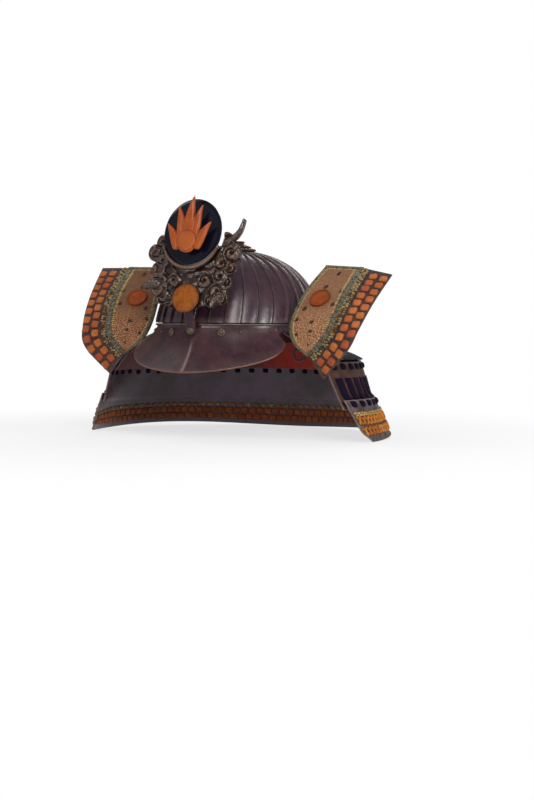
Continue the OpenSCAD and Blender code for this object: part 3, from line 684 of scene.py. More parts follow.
def deselect() -> None:
    """Leaves nothing selected."""
    if bpy.context.object and bpy.context.object.mode != "OBJECT":
        bpy.ops.object.mode_set(mode="OBJECT")
    bpy.ops.object.select_all(action="DESELECT")


def pick(obj: Object) -> Object:
    """Makes one object the selected and active one."""
    deselect()
    obj.select_set(True)
    bpy.context.view_layer.objects.active = obj
    return obj


def edit(obj: Object) -> None:
    """Opens an object for editing with all of it selected."""
    pick(obj)
    bpy.ops.object.mode_set(mode="EDIT")
    bpy.ops.mesh.select_all(action="SELECT")


def points_of(obj: Object) -> Array:
    """A mesh's points."""
    co = np.zeros(len(obj.data.vertices) * 3)
    obj.data.vertices.foreach_get("co", co)
    return co.reshape(-1, 3)


def move_points(obj: Object, points: Array) -> None:
    """Moves a mesh's points."""
    obj.data.vertices.foreach_set("co", np.ascontiguousarray(points, float).ravel())
    obj.data.update()


def mark(obj: Object, name: str, values: Array) -> None:
    """Stores a number on each point of a mesh."""
    layer = obj.data.attributes.get(name) or obj.data.attributes.new(name, "FLOAT", "POINT")
    layer.data.foreach_set("value", np.ascontiguousarray(values, float).ravel())


def grid(name: str, nx: int, ny: int, shape: Surface, wrap: bool = False, size: Pair = (1.0, 1.0),
         marks: Optional[Marks] = None) -> Object:
    """Adds a grid and bends it to a shape.

    Args:
        name: The piece's name.
        nx: Faces along the first parameter.
        ny: Faces along the second.
        shape: The points at (x, y), both from 0 to 1.
        wrap: Whether the first edge meets the last one.
        size: The grid's real width and height, for its UV map.
        marks: Numbers to store on the points, as functions of (x, y).

    Returns:
        The object.
    """
    deselect()
    bpy.ops.mesh.primitive_grid_add(x_subdivisions=nx, y_subdivisions=ny, size=2, location=(0, 0, 0))
    obj = bpy.context.object
    obj.name = name
    obj.data.name = name
    flat = points_of(obj)
    x, y = (flat[:, 0] + 1) / 2, (flat[:, 1] + 1) / 2
    move_points(obj, shape(x, y))
    for key, value in (marks or {}).items():
        mark(obj, key, value(x, y))
    layer = obj.data.uv_layers.active
    uv = np.zeros(len(layer.data) * 2)
    layer.data.foreach_get("uv", uv)
    uv = uv.reshape(-1, 2) * np.array(size) / UV_UNIT
    layer.data.foreach_set("uv", uv.ravel())
    if wrap:
        edit(obj)
        bpy.ops.mesh.remove_doubles(threshold=MERGE)
        bpy.ops.object.mode_set(mode="OBJECT")
    return obj


def close(obj: Object, merge: bool = True) -> Object:
    """Merges a mesh's doubles, unless told not to, and turns its faces outwards."""
    edit(obj)
    if merge:
        bpy.ops.mesh.remove_doubles(threshold=MERGE)
    bpy.ops.mesh.normals_make_consistent(inside=False)
    bpy.ops.object.mode_set(mode="OBJECT")
    return obj


def from_faces(name: str, points: Array, faces: List[Tuple[int, ...]]) -> Object:
    """Adds a mesh of points and faces."""
    mesh = bpy.data.meshes.new(name)
    mesh.from_pydata(points.tolist(), [], faces)
    obj = bpy.data.objects.new(name, mesh)
    bpy.context.scene.collection.objects.link(obj)
    return obj


def apply_modifier(obj: Object, kind: str, **settings: object) -> Object:
    """Adds a modifier and applies it."""
    pick(obj)
    modifier = obj.modifiers.new(kind.title(), kind)
    for key, value in settings.items():
        setattr(modifier, key, value)
    bpy.ops.object.modifier_apply(modifier=modifier.name)
    return obj


def thicken(obj: Object, t: float, edge: float = 0.0, even: bool = True) -> Object:
    """Gives a sheet a thickness inwards, and rounds its edges."""
    apply_modifier(obj, "SOLIDIFY", thickness=t, offset=-1.0, use_even_offset=even)
    if edge:
        apply_modifier(obj, "BEVEL", width=edge, segments=2, limit_method="ANGLE",
                       angle_limit=math.radians(50))
    return obj


def shade(obj: Object, angle: float = 35.0) -> Object:
    """Shades an object smooth, with its sharp edges kept."""
    pick(obj)
    bpy.ops.object.shade_smooth_by_angle(angle=math.radians(angle))
    return obj


def join(name: str, parts: Sequence[Object]) -> Object:
    """Joins pieces into one."""
    deselect()
    for part in parts:
        part.select_set(True)
    bpy.context.view_layer.objects.active = parts[0]
    bpy.ops.object.join()
    parts[0].name = name
    parts[0].data.name = name
    return parts[0]


def moulding(name: str, surface: Surface, path: Path, width: float, height: float, rows: int, length: float,
             lift: float = 0.0, wrap: bool = False,
             taper: Callable[[Array], Array] = lambda k: 1 + 0 * k) -> Object:
    """Lays a rounded strip along a path on a surface.

    Args:
        name: The piece's name.
        surface: The surface it lies on.
        path: The surface's (u, v) at each k from 0 to 1.
        width: The strip's width.
        height: The strip's height over the surface.
        rows: Faces along the path.
        length: The path's length, for the UV map.
        lift: Gap under the strip.
        wrap: Whether the path closes on itself.
        taper: Share of the width at each k.

    Returns:
        The strip.
    """
    def shape(x: Array, y: Array) -> Array:
        u, v = path(x)
        last, next_one = path(x - 0.001), path(x + 0.001)
        along = unit(surface(*next_one) - surface(*last))
        up = normal(surface, u, v)
        across = np.cross(up, along)
        turn = np.pi * y
        return (surface(u, v) + across * (np.cos(turn) * taper(x) * width / 2)[..., None]
                + up * (np.sin(turn) ** 0.7 * height + lift)[..., None])

    obj = grid(name, rows, STRIP_FACES, shape, wrap, (length, width))
    return shade(obj, 60)


def beaded(x: Array, y: Array) -> Array:
    """The height of a rounded stitch, with x and y from -1 to 1."""
    return (1 - x ** 4) ** 0.5 * (1 - y ** 4) ** 0.5


@dataclass
class Pad:
    """A small shape that is repeated over a surface: x and y from -1 to 1, z from 0 to 1."""

    points: Array
    faces: List[Tuple[int, ...]]

    @classmethod
    def from_grid(cls, n: int, m: int, height: Callable[[Array, Array], Array], corner: float = 0.0) -> "Pad":
        """A pad modelled as a raised grid, with its corners drawn in where a corner's power is given."""
        def shape(x: Array, y: Array) -> Array:
            x, y = 2 * x - 1, 2 * y - 1
            z = height(x, y)
            if corner:
                reach = np.maximum(np.abs(x), np.abs(y))
                draw = reach / np.maximum((np.abs(x) ** corner + np.abs(y) ** corner) ** (1 / corner), 1e-9)
                x, y = x * draw, y * draw
            return stack(x, y, z)

        return cls.taken(grid("pad", n, m, shape))

    @classmethod
    def tube(cls, n: int, m: int, belly: float = 0.0) -> "Pad":
        """A flat band closed all round its section, which bellies out at its middle."""
        def shape(x: Array, y: Array) -> Array:
            turn = 2 * np.pi * x
            c, s = np.cos(turn), np.sin(turn)
            return stack(np.sign(c) * np.abs(c) ** 0.5, 2 * y - 1,
                         0.5 + 0.5 * np.sign(s) * np.abs(s) ** 0.6 + belly * np.sin(np.pi * y))

        return cls.taken(close(grid("band", n, m, shape, wrap=True), merge=False))

    @classmethod
    def taken(cls, obj: Object) -> "Pad":
        """A pad with the shape of an object, which is used up."""
        pad = cls(points_of(obj), [tuple(p.vertices) for p in obj.data.polygons])
        bpy.data.objects.remove(obj)
        return pad

    def shares(self, surface: Surface, uv: Array, a: Array, b: Array) -> Tuple[Array, Array]:
        """Turns lengths across and along a surface at each place into shares of its u and v."""
        u, v = uv[:, 0], uv[:, 1]
        across = (surface(u + STEP, v) - surface(u - STEP, v)) / (2 * STEP)
        along = (surface(u, v + STEP) - surface(u, v - STEP)) / (2 * STEP)
        up = unit(along)
        flat = unit(across - up * np.sum(across * up, -1, keepdims=True))
        du = a / np.sum(across * flat, -1)[:, None]
        dv = (b - du * np.sum(across * up, -1)[:, None]) / np.linalg.norm(along, axis=-1)[:, None]
        return du, dv

    def stamp(self, name: str, surface: Surface, places: Sequence[Pair], half: object,
              height: float, lift: float = 0.0, size: Pair = (0.01, 0.01), seed: int = 1,
              jitter: float = 0.0, turn: float = 0.0, real: bool = False) -> Object:
        """Copies the pad to places on a surface, as one mesh of separate pads.

        Args:
            name: The piece's name.
            surface: The surface.
            places: The (u, v) of each pad's middle.
            half: Half of the pad's size, for all pads or for each one.
            height: The pad's height, negative for the surface's other side.
            lift: Gap under the pad.
            size: The pad's real width and height, for the UV map.
            seed: Seed of the pads' small differences.
            jitter: Share by which the pads differ in place and height.
            turn: Angle by which the pads are turned, in degrees.
            real: Whether half is in metres and the pads stay square, and not in u and v.

        Returns:
            The pads.
        """
        rng = np.random.default_rng(seed)
        count, each = len(places), len(self.points)
        uv = np.array(places, float)
        wobble = rng.normal(0, jitter, (count, 3))
        c, s = math.cos(math.radians(turn)), math.sin(math.radians(turn))
        x = self.points[:, 0] * c - self.points[:, 1] * s
        y = self.points[:, 0] * s + self.points[:, 1] * c
        halves = np.broadcast_to(np.array(half, float), (count, 2))
        du = (x[None] + wobble[:, :1]) * halves[:, :1]
        dv = (y[None] + wobble[:, 1:2]) * halves[:, 1:]
        if real:
            du, dv = self.shares(surface, uv, du, dv)
        u, v = uv[:, :1] + du, uv[:, 1:] + dv
        z = self.points[None, :, 2] * height * (1 + wobble[:, 2:]) + math.copysign(lift, height)
        points = above(surface, u.ravel(), v.ravel(), z.ravel())
        turned = [face[::-1] if height < 0 else face for face in self.faces]
        faces = [tuple(i + k * each for i in face) for k in range(count) for face in turned]
        obj = from_faces(name, points, faces)
        mark(obj, "tone", np.repeat(rng.random(count), each))
        mark(obj, "height", np.tile(self.points[:, 2], count))
        flat = np.tile(self.points[:, :2], (count, 1)) * np.array(size) / 2 / UV_UNIT
        flat += np.repeat(rng.random((count, 2)) * 3, each, axis=0)
        loops = np.zeros(len(obj.data.loops), int)
        obj.data.loops.foreach_get("vertex_index", loops)
        obj.data.uv_layers.new(name="UVMap").data.foreach_set("uv", flat[loops].ravel())
        return shade(obj, 70)


def flip(obj: Object) -> None:
    """Turns a piece over to the other side of the centre plane."""
    points = points_of(obj)
    points[:, 0] *= -1
    move_points(obj, points)
    edit(obj)
    bpy.ops.mesh.flip_normals()
    bpy.ops.object.mode_set(mode="OBJECT")


def dress(obj: Object, finish: Finish) -> Object:
    """Gives a piece one finish."""
    obj.data.materials.clear()
    obj.data.materials.append(finish.make())
    return obj


def settle(obj: Object, finish: Finish, body: Optional[str], slot: str, *nodes: str) -> Object:
    """Finishes a piece: its material, its body and the solids it stands for.

    Args:
        obj: The piece.
        finish: Its finish.
        body: The body that it is attached to, or None to leave it unattached.
        slot: The name of its material slot; not used.
        *nodes: The solids that it replaces.

    Returns:
        The piece.
    """
    dress(obj, finish)
    if body:
        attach(obj, body)
    if nodes:
        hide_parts(*nodes)
    log.info("%s: %d faces on %s", obj.name, len(obj.data.polygons), body)
    return obj


def dress_nodes(finish: Finish, *nodes: str) -> None:
    """Gives solids that stay a finish."""
    for name in nodes:
        shade(dress(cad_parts[name], finish), 32)


def lathe(name: str, profile: Sequence[Pair], sides: int, centre: Array,
          petal: float = 0.0, petals: int = 12) -> Object:
    """Turns a profile of (radius, height) about a vertical axis, with petals if asked."""
    rows = np.array(profile, float)

    def shape(x: Array, y: Array) -> Array:
        k = y * (len(rows) - 1)
        r = np.interp(k, np.arange(len(rows)), rows[:, 0])
        z = np.interp(k, np.arange(len(rows)), rows[:, 1])
        turn = 2 * np.pi * x
        grow = 1 + petal * (np.abs(np.cos(petals * turn / 2)) ** 0.6 - 1)
        return centre + stack(r * grow * np.cos(turn), r * grow * np.sin(turn), z)

    obj = grid(name, sides, len(rows) - 1, shape, wrap=True)
    return shade(obj, 40)


def stand(obj: Object, place: Array, axis: Array) -> Object:
    """Moves a piece that was turned about Z to a place, along an axis."""
    turn = Vector(axis).to_track_quat("Z", "Y").to_matrix().to_4x4()
    obj.data.transform(Matrix.Translation(Vector(place)) @ turn)
    return obj


def stand_on(obj: Object, surface: Surface, u: float, v: float, lift: float) -> Object:
    """Stands a piece that was turned about Z on a surface."""
    at = np.array([u]), np.array([v])
    return stand(obj, above(surface, *at, lift)[0], normal(surface, *at)[0])


def chin_ring(side: Side, wire: float = 1.6 * MM) -> None:
    """A chin-cord ring of stout wire, where its node is."""
    low, high = (np.array(corner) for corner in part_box(f"{side.word}_chin_ring"))
    centre, r = (low + high) / 2, (high[2] - low[2]) / 2 - wire

    def shape(x: Array, y: Array) -> Array:
        turn, section = 2 * np.pi * x, 2 * np.pi * y
        reach = r + wire * np.cos(section)
        return centre + stack(reach * np.cos(turn), wire * np.sin(section), reach * np.sin(turn))

    ring = close(grid("chin_ring_wire", 64, 16, shape, wrap=True, marks=UNWORN))
    ring.name = f"{side.word}_chin_ring_wire"
    settle(shade(ring, 60), IRON, f"{side.word}_ring", "dark_iron", f"{side.word}_chin_ring")


@dataclass
class BowlPart:
    """The bowl: its plates, its rim moulding, its base band and its lining."""

    bowl: Bowl
    rows: int = 40
    rim_h: float = 3 * MM
    rim_out: float = 2.2 * MM
    lining_gap: float = 5 * MM
    lining_t: float = 1.6 * MM
    quilt: float = 0.7 * MM
    belt_low: float = 1.5 * MM
    belt_h: float = 14.1 * MM

    def plate(self, index: int) -> Object:
        """One plate: a strip that swells a little and turns up into its rib."""
        step = 360 / self.bowl.plates
        start = index * step
        b = self.bowl

        def section(x: Array, turn: Array) -> Tuple[Array, Array]:
            rib = b.rib_t * turn / step
            knots = [0, 0.12, 0.3, 0.5, 0.62, 0.7, 0.78, 0.86, 0.93, 1]
            place = np.stack([0 * rib + 0.004, 0.14 + 0 * rib, 0.36 + 0 * rib, 0.62 + 0 * rib, 0.82 + 0 * rib,
                              1 - rib - 0.03, 1 - rib - 0.012, 1 - rib * 0.75, 1 - rib * 0.3,
                              0.999 + 0 * rib])
            lift = np.array([0, 0.25, 0.45, 0.35, 0.1, 0.12, 0.9, 2.75, 3.0, 2.5]) * MM * b.rib_h / (3 * MM)
            i = np.clip(np.searchsorted(knots, x, side="right") - 1, 0, 8)
            t = (x - np.array(knots)[i]) / (np.array(knots)[i + 1] - np.array(knots)[i])
            columns = np.arange(len(x))
            across = place[i, columns] * (1 - t) + place[i + 1, columns] * t
            return across, lift[i] * (1 - t) + lift[i + 1] * t

        def shape(x: Array, y: Array) -> Array:
            k = 0.004 + (b.reach - 0.004) * y
            radius = b.half_w * np.cos(np.radians(90 * k)) ** (2 / b.fullness)
            across, lift = section(x, 57.3 / radius)
            fade = smooth(0.0, 0.02, y)
            return above(b.dome, start + step * across, k, lift * (0.75 + 0.25 * fade))

        def wear(x: Array, y: Array) -> Array:
            return smooth(0.72, 0.8, x) * (0.35 + 0.65 * y) + 0.5 * smooth(0.06, 0.0, y)

        obj = grid(f"plate_{index}", 18, self.rows, shape, marks={"wear": wear})
        return thicken(obj, b.plate_t, even=False)

    def build(self) -> None:
        """Builds the bowl and gives its pieces to the helmet."""
        b = self.bowl
        plates = shade(join("bowl_skin", [self.plate(i) for i in range(b.plates)]), 40)
        settle(plates, RUSSET, "helmet", "russet_iron", "bowl_plates")

        ring = lambda k: (360 * k, 0 * k + 1 - self.rim_h / 2 / b.band_h)
        rim = moulding("bowl_rim_strip", b.band, ring, self.rim_h, self.rim_out, 192, 0.75, wrap=True)
        settle(rim, RIM_METAL, "helmet", "old_gold", "bowl_rim")

        wall = lambda x, y: b.band(360 * x, y)
        band = thicken(grid("base_band_skin", 144, 6, wall, wrap=True, marks=UNWORN), b.band_t, 0.4 * MM)
        settle(shade(band), RUSSET, "helmet", "russet_iron", "base_band")
        self.line()

    def line(self) -> None:
        """Builds the quilted lining and the band that it hangs on."""
        b = self.bowl
        out = b.plate_t + self.lining_gap

        def cap(x: Array, y: Array) -> Array:
            quilt = self.quilt * np.abs(np.sin(math.pi * 16 * x) * np.sin(math.pi * 7 * y))
            return above(b.dome, 360 * x, -0.2 + 1.15 * y, -out - self.quilt + quilt)

        lining = grid("quilted_lining", 192, 84, cap, wrap=True)
        apply_modifier(lining, "SOLIDIFY", thickness=self.lining_t - self.quilt, offset=-1.0)
        settle(shade(lining, 60), LINING, "helmet", "lining_cloth", "lining_cap")

        def belt(x: Array, y: Array) -> Array:
            rise = (self.belt_low + self.belt_h * y) / b.band_h
            return above(b.band, 360 * x, rise, -b.band_t - 0.3 * MM - 0.3 * MM * np.sin(math.pi * y))

        strap = thicken(grid("lining_belt", 144, 6, belt, wrap=True, marks=UNWORN), 3.6 * MM, 0.5 * MM)
        settle(shade(strap), LINING_LEATHER, "helmet", "lining_leather", "lining_band")


@dataclass
class CrownPart:
    """The crown fitting: a flat seat, a ring of petals and an open ring, one on the other."""

    bore: float = 8 * MM
    chamfer: float = 0.4 * MM

    def tier(self, name: str, node: str, edge: Sequence[Pair], sides: int, petal: float = 0.0,
             petals: int = 12,
             bevelled: bool = False) -> None:
        """Builds one tier.

        Args:
            name: The piece's name.
            node: The solid that it stands for.
            edge: Its outline from its top to its foot, as shares of its radius and its height.
            sides: Faces round it.
            petal: Depth of its petals, as a share of its radius.
            petals: Number of petals.
            bevelled: Whether the bore's mouth is bevelled.
        """
        low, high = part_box(node)
        r, h = (high.x - low.x) / 2, high.z - low.z
        mouth = [(self.bore, high.z)]
        if bevelled:
            mouth = [(self.bore, high.z - 0.1 * h), (self.bore + self.chamfer, high.z)]
        profile = mouth + [(r * a, low.z + h * b) for a, b in edge] + [(self.bore, low.z), mouth[0]]
        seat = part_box("crown_seat")
        centre = np.array([0, (seat[0].y + seat[1].y) / 2, 0])
        settle(lathe(name, profile, sides, centre, petal, petals), GILT, "helmet", "old_gold", node)

    def build(self) -> None:
        """Builds the three tiers."""
        edge = ((0.7, 1), (0.86, 0.9), (0.92, 0.6), (0.97, 0.7), (1, 0.45), (1, 0.2), (0.98, 0))
        self.tier("crown_seat_plate", "crown_seat", edge, 96, 0.045, 24)
        edge = ((0.55, 1), (0.62, 0.75), (0.8, 0.98), (0.94, 0.78), (1, 0.45), (0.97, 0.1), (0.9, 0))
        self.tier("crown_petals", "crown_flower", edge, 144, 0.16)
        edge = ((0.8, 1), (0.88, 0.85), (0.8, 0.65), (0.78, 0.4), (0.92, 0.25), (1, 0.15), (0.98, 0))
        self.tier("crown_top_ring", "crown_ring", edge, 96, bevelled=True)


# The outlines of the visor's heads, as radius and height in millimetres
ROSETTE = ((0, 3), (1.2, 2.9), (2.2, 2.4), (2.9, 1.4), (3.6, 1.7), (4.6, 1.5), (5.5, 0.8), (5.4, 0), (0, 0))
STUD = ((0, 1.6), (0.8, 1.5), (1.5, 1.1), (2, 0.4), (2, 0), (0, 0))

# The sections of the crest's holder: half width, half depth, power of the oval and place, in millimetres
SLEEVE = ((0, 0, 2, 8), (4.6, 2, 2, 8), (6, 3.2, 2, 10), (7.1, 3.7, 2, 14), (7.2, 3.8, 2, 36.6),
          (6.9, 3.5, 2, 38), (6.3, 1.5, 8, 38), (6.3, 1.5, 8, 10), (0, 0, 8, 10))
LUG = ((0, 0, 4, -4), (4.4, 3.6, 4, -4), (4.4, 3.6, 4, 3), (0, 0, 4, 3))


@dataclass
class VisorPart:
    """The visor, its copper edging, the heads that hold it and the crest's holder."""

    shape: VisorShape
    head_v: float = 0.11
    head_lift: float = 0.55 * MM
    rosettes: Tuple[float, ...] = (-20.0, 20.0)
    studs: Tuple[float, ...] = (-54.0, -33.0, 33.0, 54.0)
    end_share: float = 0.04
    holder_lean: float = 16.0
    holder_y: float = -130 * MM
    holder_z: float = 6 * MM

    def columns(self, x: Array) -> Array:
        """Angles across the visor, closer together at its ends and its ridge."""
        k = 2 * x - 1
        return self.shape.end * np.sign(k) * np.abs(k) ** 0.9

    def head(self, name: str, outline: Sequence[Pair], petal: float) -> Object:
        """A round head, with its foot at the origin."""
        return lathe(name, [(r * MM, z * MM) for r, z in outline], 48, np.zeros(3), petal, 8)

    def section(self, table: Sequence[Tuple[float, ...]], x: Array, y: Array) -> Tuple[Array, Array, Array]:
        """Width, depth and place of the holder's surface at (x, y)."""
        rows = np.arange(len(table))
        wide, deep, power, rise = (np.interp(y * rows[-1], rows, column) for column in np.array(table).T)
        c, s = np.cos(2 * np.pi * x), np.sin(2 * np.pi * x)
        return (wide * np.sign(c) * np.abs(c) ** (2 / power) * MM,
                deep * np.sign(s) * np.abs(s) ** (2 / power) * MM, rise * MM)

    def holder(self) -> None:
        """Builds the crest's holder: a leaning sleeve, the lug that it stands on, and a rosette on its front."""
        lean = math.radians(self.holder_lean)
        c, s = math.cos(lean), math.sin(lean)
        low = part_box("crest_holder")[0]

        def tilted(across: Array, out: Array, up: Array) -> Array:
            return stack(across, self.holder_y + out * c - up * s, self.holder_z + out * s + up * c)

        def sleeve(x: Array, y: Array) -> Array:
            return tilted(*self.section(SLEEVE, x, y))

        def lug(x: Array, y: Array) -> Array:
            across, up, out = self.section(LUG, x, y)
            return stack(across, self.holder_y - out, low.z + 4 * MM + up)

        def wear(x: Array, y: Array) -> Array:
            return 0.3 * smooth(0.55, 0.62, y) * smooth(0.7, 0.64, y)

        pieces = []
        for name, shape, table in (("holder_sleeve", sleeve, SLEEVE), ("holder_lug", lug, LUG)):
            piece = grid(name, 48, 6 * (len(table) - 1), shape, wrap=True, marks={"wear": wear})
            pieces.append(shade(close(piece), 50))
        settle(join("crest_sleeve", pieces), VISOR_RUSSET, "helmet", "russet_iron", "crest_holder")
        rosette = stand(self.head("holder_rosette", ROSETTE, 0.14), tilted(0.0, -2.2 * MM, 11 * MM),
                        (0, -c, -s))
        settle(shade(rosette, 50), WORN_GILT, "helmet", "old_gold")

    def rim(self, k: Array) -> Tuple[Array, Array]:
        """The edging's way: down one end of the visor, along its rim and up the other end."""
        along = np.clip((k - self.end_share) / (1 - 2 * self.end_share), 0, 1)
        up = np.clip(np.abs(k - 0.5) / self.end_share - 0.5 / self.end_share + 1, 0, 1)
        return self.columns(0.004 + 0.992 * along), 1 - self.shape.edging / 2 - 0.93 * up

    def edging(self, x: Array, y: Array) -> Array:
        """The edging's surface, round the plate's edge."""
        face = self.shape.face
        u, v = self.rim(x)
        along = unit(face(*self.rim(x + 0.0005)) - face(*self.rim(x - 0.0005)))
        up = normal(face, u, v)
        across = np.cross(up, along)
        turn = 2 * np.pi * y
        middle = above(face, u, v, 0 * u - self.shape.t / 2)
        return middle + across * (1.2 * MM * np.cos(turn))[..., None] + up * (1.25 * MM * np.sin(turn))[...,
                                                                                                        None]

    def build(self) -> None:
        """Builds the visor."""
        s = self.shape

        def face(x: Array, y: Array) -> Array:
            return s.face(self.columns(x), y * (1 - s.edging * 0.4))

        # Painted light in the mark: the ridge term is a painted highlight down the lower ridge, and the last term a
        # painted sheen near the rim on the wearer's left half; the rim term is wear.
        def wear(x: Array, y: Array) -> Array:
            ridge = 1.1 * smooth(0.008, 0.0, np.abs(x - 0.5)) * smooth(0.2, 0.55, y)
            return ridge + 0.12 * smooth(0.9, 1.0, y) + 0.1 * smooth(0.68, 0.95, y) * smooth(0.46, 0.3, x)

        plate = thicken(grid("visor_plate", 160, 48, face, marks={"wear": wear}), s.t)
        settle(shade(plate, 30), VISOR_RUSSET, "helmet", "russet_iron", "visor")
        edge = close(grid("visor_copper_edging", 192, 10, self.edging))
        settle(shade(edge, 60), COPPER, "helmet", "old_gold", "visor_edging")
        for name, node, outline, petal, places in (
                ("visor_rosette_heads", "visor_rosettes", ROSETTE, 0.14, self.rosettes),
                ("visor_stud_heads", "visor_studs", STUD, 0.0, self.studs)):
            heads = [stand_on(self.head(name, outline, petal), s.face, f, self.head_v, self.head_lift)
                     for f in places]
            settle(shade(join(name, heads), 50), WORN_GILT, "helmet", "old_gold", node)
        self.holder()


@dataclass
class GuardPart:
    """The neck guard: its lames, the blue lacing between them and the orange lacing on the lowest."""

    shape: GuardShape
    bands: int = 32
    crosses: int = 72
    blocks: int = 62
    reach: float = 0.985
    lace_t: float = 1.4 * MM
    lace_gap: float = 0.15 * MM
    lace_start: float = 0.34
    lace_leave: float = 0.72
    beads: int = 130
    length: float = 0.7
    draws: Pair = (0.04, 0.015)
    spread: float = 1.008

    def row(self, count: int, v: float, shift: float = 0.0) -> List[Pair]:
        """The (u, v) of a row of pads along a lame."""
        last = count if shift == 0 else count - 1
        return [(self.reach * (2 * (i + 0.5 + shift) / count - 1), v) for i in range(last)]

    def corner(self, u: Array, v: Array) -> Array:
        """Draws u in near the lowest lame's rounded lower corners, the wearer's left one more."""
        return u * (1 - np.where(u > 0, *self.draws) * smooth(0.66, 1.0, v) ** 2)

    @property
    def lace_stop(self) -> float:
        """The v of the third lame that is level with the lowest lame's upper edge."""
        return 1 - self.shape.lap[3] / self.shape.drop[2]

    def lame(self, i: int, inside: Finish, outside: Finish, body: str, slot: str) -> None:
        """Builds one lame, with its edges rounded and a finish on each face; the first two get painted shade on the
        wearer's right half of their red inner faces.
        """
        flat = self.shape.lame(i)
        face = (lambda u, v: flat(self.corner(u, v), v)) if i == 3 else flat
        end = 0.004 if i > 1 else 0.013

        def wear(x: Array, y: Array) -> Array:
            ends = 0.7 * smooth(end, 0.0, np.minimum(x, 1 - x))
            return ends + 0.45 * smooth(0.05, 0.0, np.minimum(y, 1 - y))

        obj = grid(f"lame_{i + 1}_plate", 240, 10, lambda x, y: face(2 * x - 1, y), marks={"wear": wear},
                   size=(self.length, self.shape.drop[i]))
        thicken(obj, self.shape.t, 0.5 * MM)
        settle(shade(obj), inside, body, slot, f"neck_lame_{i + 1}")
        obj.data.materials.append(outside.make())
        points = points_of(obj)
        worn = np.zeros(len(points))
        obj.data.attributes["wear"].data.foreach_get("value", worn)
        for polygon in obj.data.polygons:
            out = Vector((polygon.center.x, polygon.center.y, 0))
            polygon.material_index = 1 if polygon.normal.dot(out) > 0 or polygon.normal.z > 0.3 else 0
            # Painted shade: on the first two lames the inner faces darken across the wearer's right half (x below
            # 0).
            if i < 2 and polygon.material_index == 0:
                corners = list(polygon.vertices)
                worn[corners] = np.maximum(worn[corners], 1.6 * smooth(0.03, -0.05, points[corners, 0]))
        mark(obj, "wear", worn)

    def bridge(self, i: int, v0: float) -> Surface:
        """The way of the lacing from one lame's face to the next lame's upper edge."""
        first, last = self.shape.lame(i), self.shape.lame(i + 1)

        def at(u: Array, v: Array) -> Array:
            start = above(first, u, 0 * v + v0, 0 * v + self.lace_t)
            end = above(last, u, 0 * v - 0.01, 0 * v + self.lace_t)
            return start * (1 - v[..., None]) + end * v[..., None]

        return at

    def face_band(self) -> Surface:
        """The way of the lacing down the third lame and out to the lowest one."""
        third, last = self.shape.lame(2), self.shape.lame(3)
        leave, stop = self.lace_leave, self.lace_stop

        def at(u: Array, v: Array) -> Array:
            start = above(third, u, np.minimum(v, leave), 0 * v + self.lace_gap)
            end = above(last, u, 0 * v - 0.011, 0 * v - self.lace_t)
            k = np.clip((v - leave) / (stop - leave), 0, 1)[..., None]
            return start * (1 - k) + end * k

        return at

    def lace(self) -> None:
        """Builds the blue lacing."""
        band = Pad.tube(8, 8, belly=0.5)
        half = 0.7 / self.bands
        row, wide = self.row(self.bands, 0.5), (0.95 / self.bands, 0.5)
        first, second = (
            band.stamp(f"lacing_{i + 1}_{i + 2}_bands", self.bridge(i, v0), row, wide, self.lace_t,
                       -self.lace_t / 2, (0.015, 0.012), 3 + i) for i, v0 in enumerate((0.5, 0.18)))
        settle(first, BLUE, "helmet", "blue_lacing", "lacing_1_2")
        settle(second, BLUE, None, "blue_lacing", "lacing_2_3")
        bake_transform(second)
        start, stop = self.lace_start, self.lace_stop
        row = self.row(self.bands, (start + stop) / 2)
        third = Pad.tube(8, 14).stamp("lacing_3_4_bands", self.face_band(), row, (half, (stop - start) / 2),
                                      self.lace_t, SKIN, (0.015, 0.03), 5)
        settle(third, BLUE, None, "blue_lacing", "lacing_3_4")
        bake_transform(third)
        loop = Pad.from_grid(8, 6, lambda x, y: (1 - x ** 6) ** 0.5 * (1 - y ** 4) ** 0.5, corner=5)
        for i, body in ((2, "lame_3"), (3, "lame_4")):
            knuckles = loop.stamp(f"lame_{i + 1}_loops", self.shape.lame(i), self.row(self.bands, 0.1),
                                  (half * 0.8, 4.4 * MM / self.shape.drop[i]), 2.6 * MM, 0, (0.013, 0.009),
                                  6 + i, 0.05)
            settle(knuckles, BLUE, body, "blue_lacing", f"lame_{i + 1}_knuckles")
        ends = loop.stamp("lame_3_inner_loops", self.shape.lame(2), self.row(self.bands, 0.33),
                          (half * 0.55, 3.4 * MM / self.shape.drop[2]),
                          -1.8 * MM, self.shape.t, (0.013, 0.009), 9, 0.1)
        settle(ends, BLUE, "lame_3", "blue_lacing")

    def knot(self) -> None:
        """Builds the orange lacing on the lowest lame, outside and inside."""
        flat = self.shape.lame(3)
        face = lambda u, v: flat(self.corner(u, v) * self.spread, v)

        def cross(x: Array, y: Array) -> Array:
            one = np.sqrt(np.clip(1 - ((x - y) / 0.4) ** 2, 0, 1))
            two = np.sqrt(np.clip(1 - ((x + y) / 0.4) ** 2, 0, 1))
            rim = (1 - np.abs(x) ** 8) ** 0.5 * (1 - np.abs(y) ** 8) ** 0.5
            return rim * np.maximum(0.05, np.maximum(0.95 * one, 0.8 * two))

        pad = Pad.from_grid(14, 14, cross)
        places = self.row(self.crosses, 0.5) + self.row(self.crosses, 0.75)
        outer = pad.stamp("cross_knots", face, places, (0.97 / self.crosses, 0.112), 3 * MM, 0,
                          (0.009, 0.014), 9, 0.04)
        settle(outer, AMBER, "lame_4", "orange_lacing", "cross_lacing")
        bead = Pad.from_grid(5, 5, beaded, corner=3)
        row = self.row(self.beads, 0.325) + self.row(self.beads, 0.375, 0.5)
        beads = bead.stamp("gold_beads", face, row, (0.9 / self.beads, 0.026), 2.3 * MM, 0, (0.003, 0.002),
                           10,
                           0.15, 20)
        settle(beads, BEADS, "lame_4", "orange_lacing")

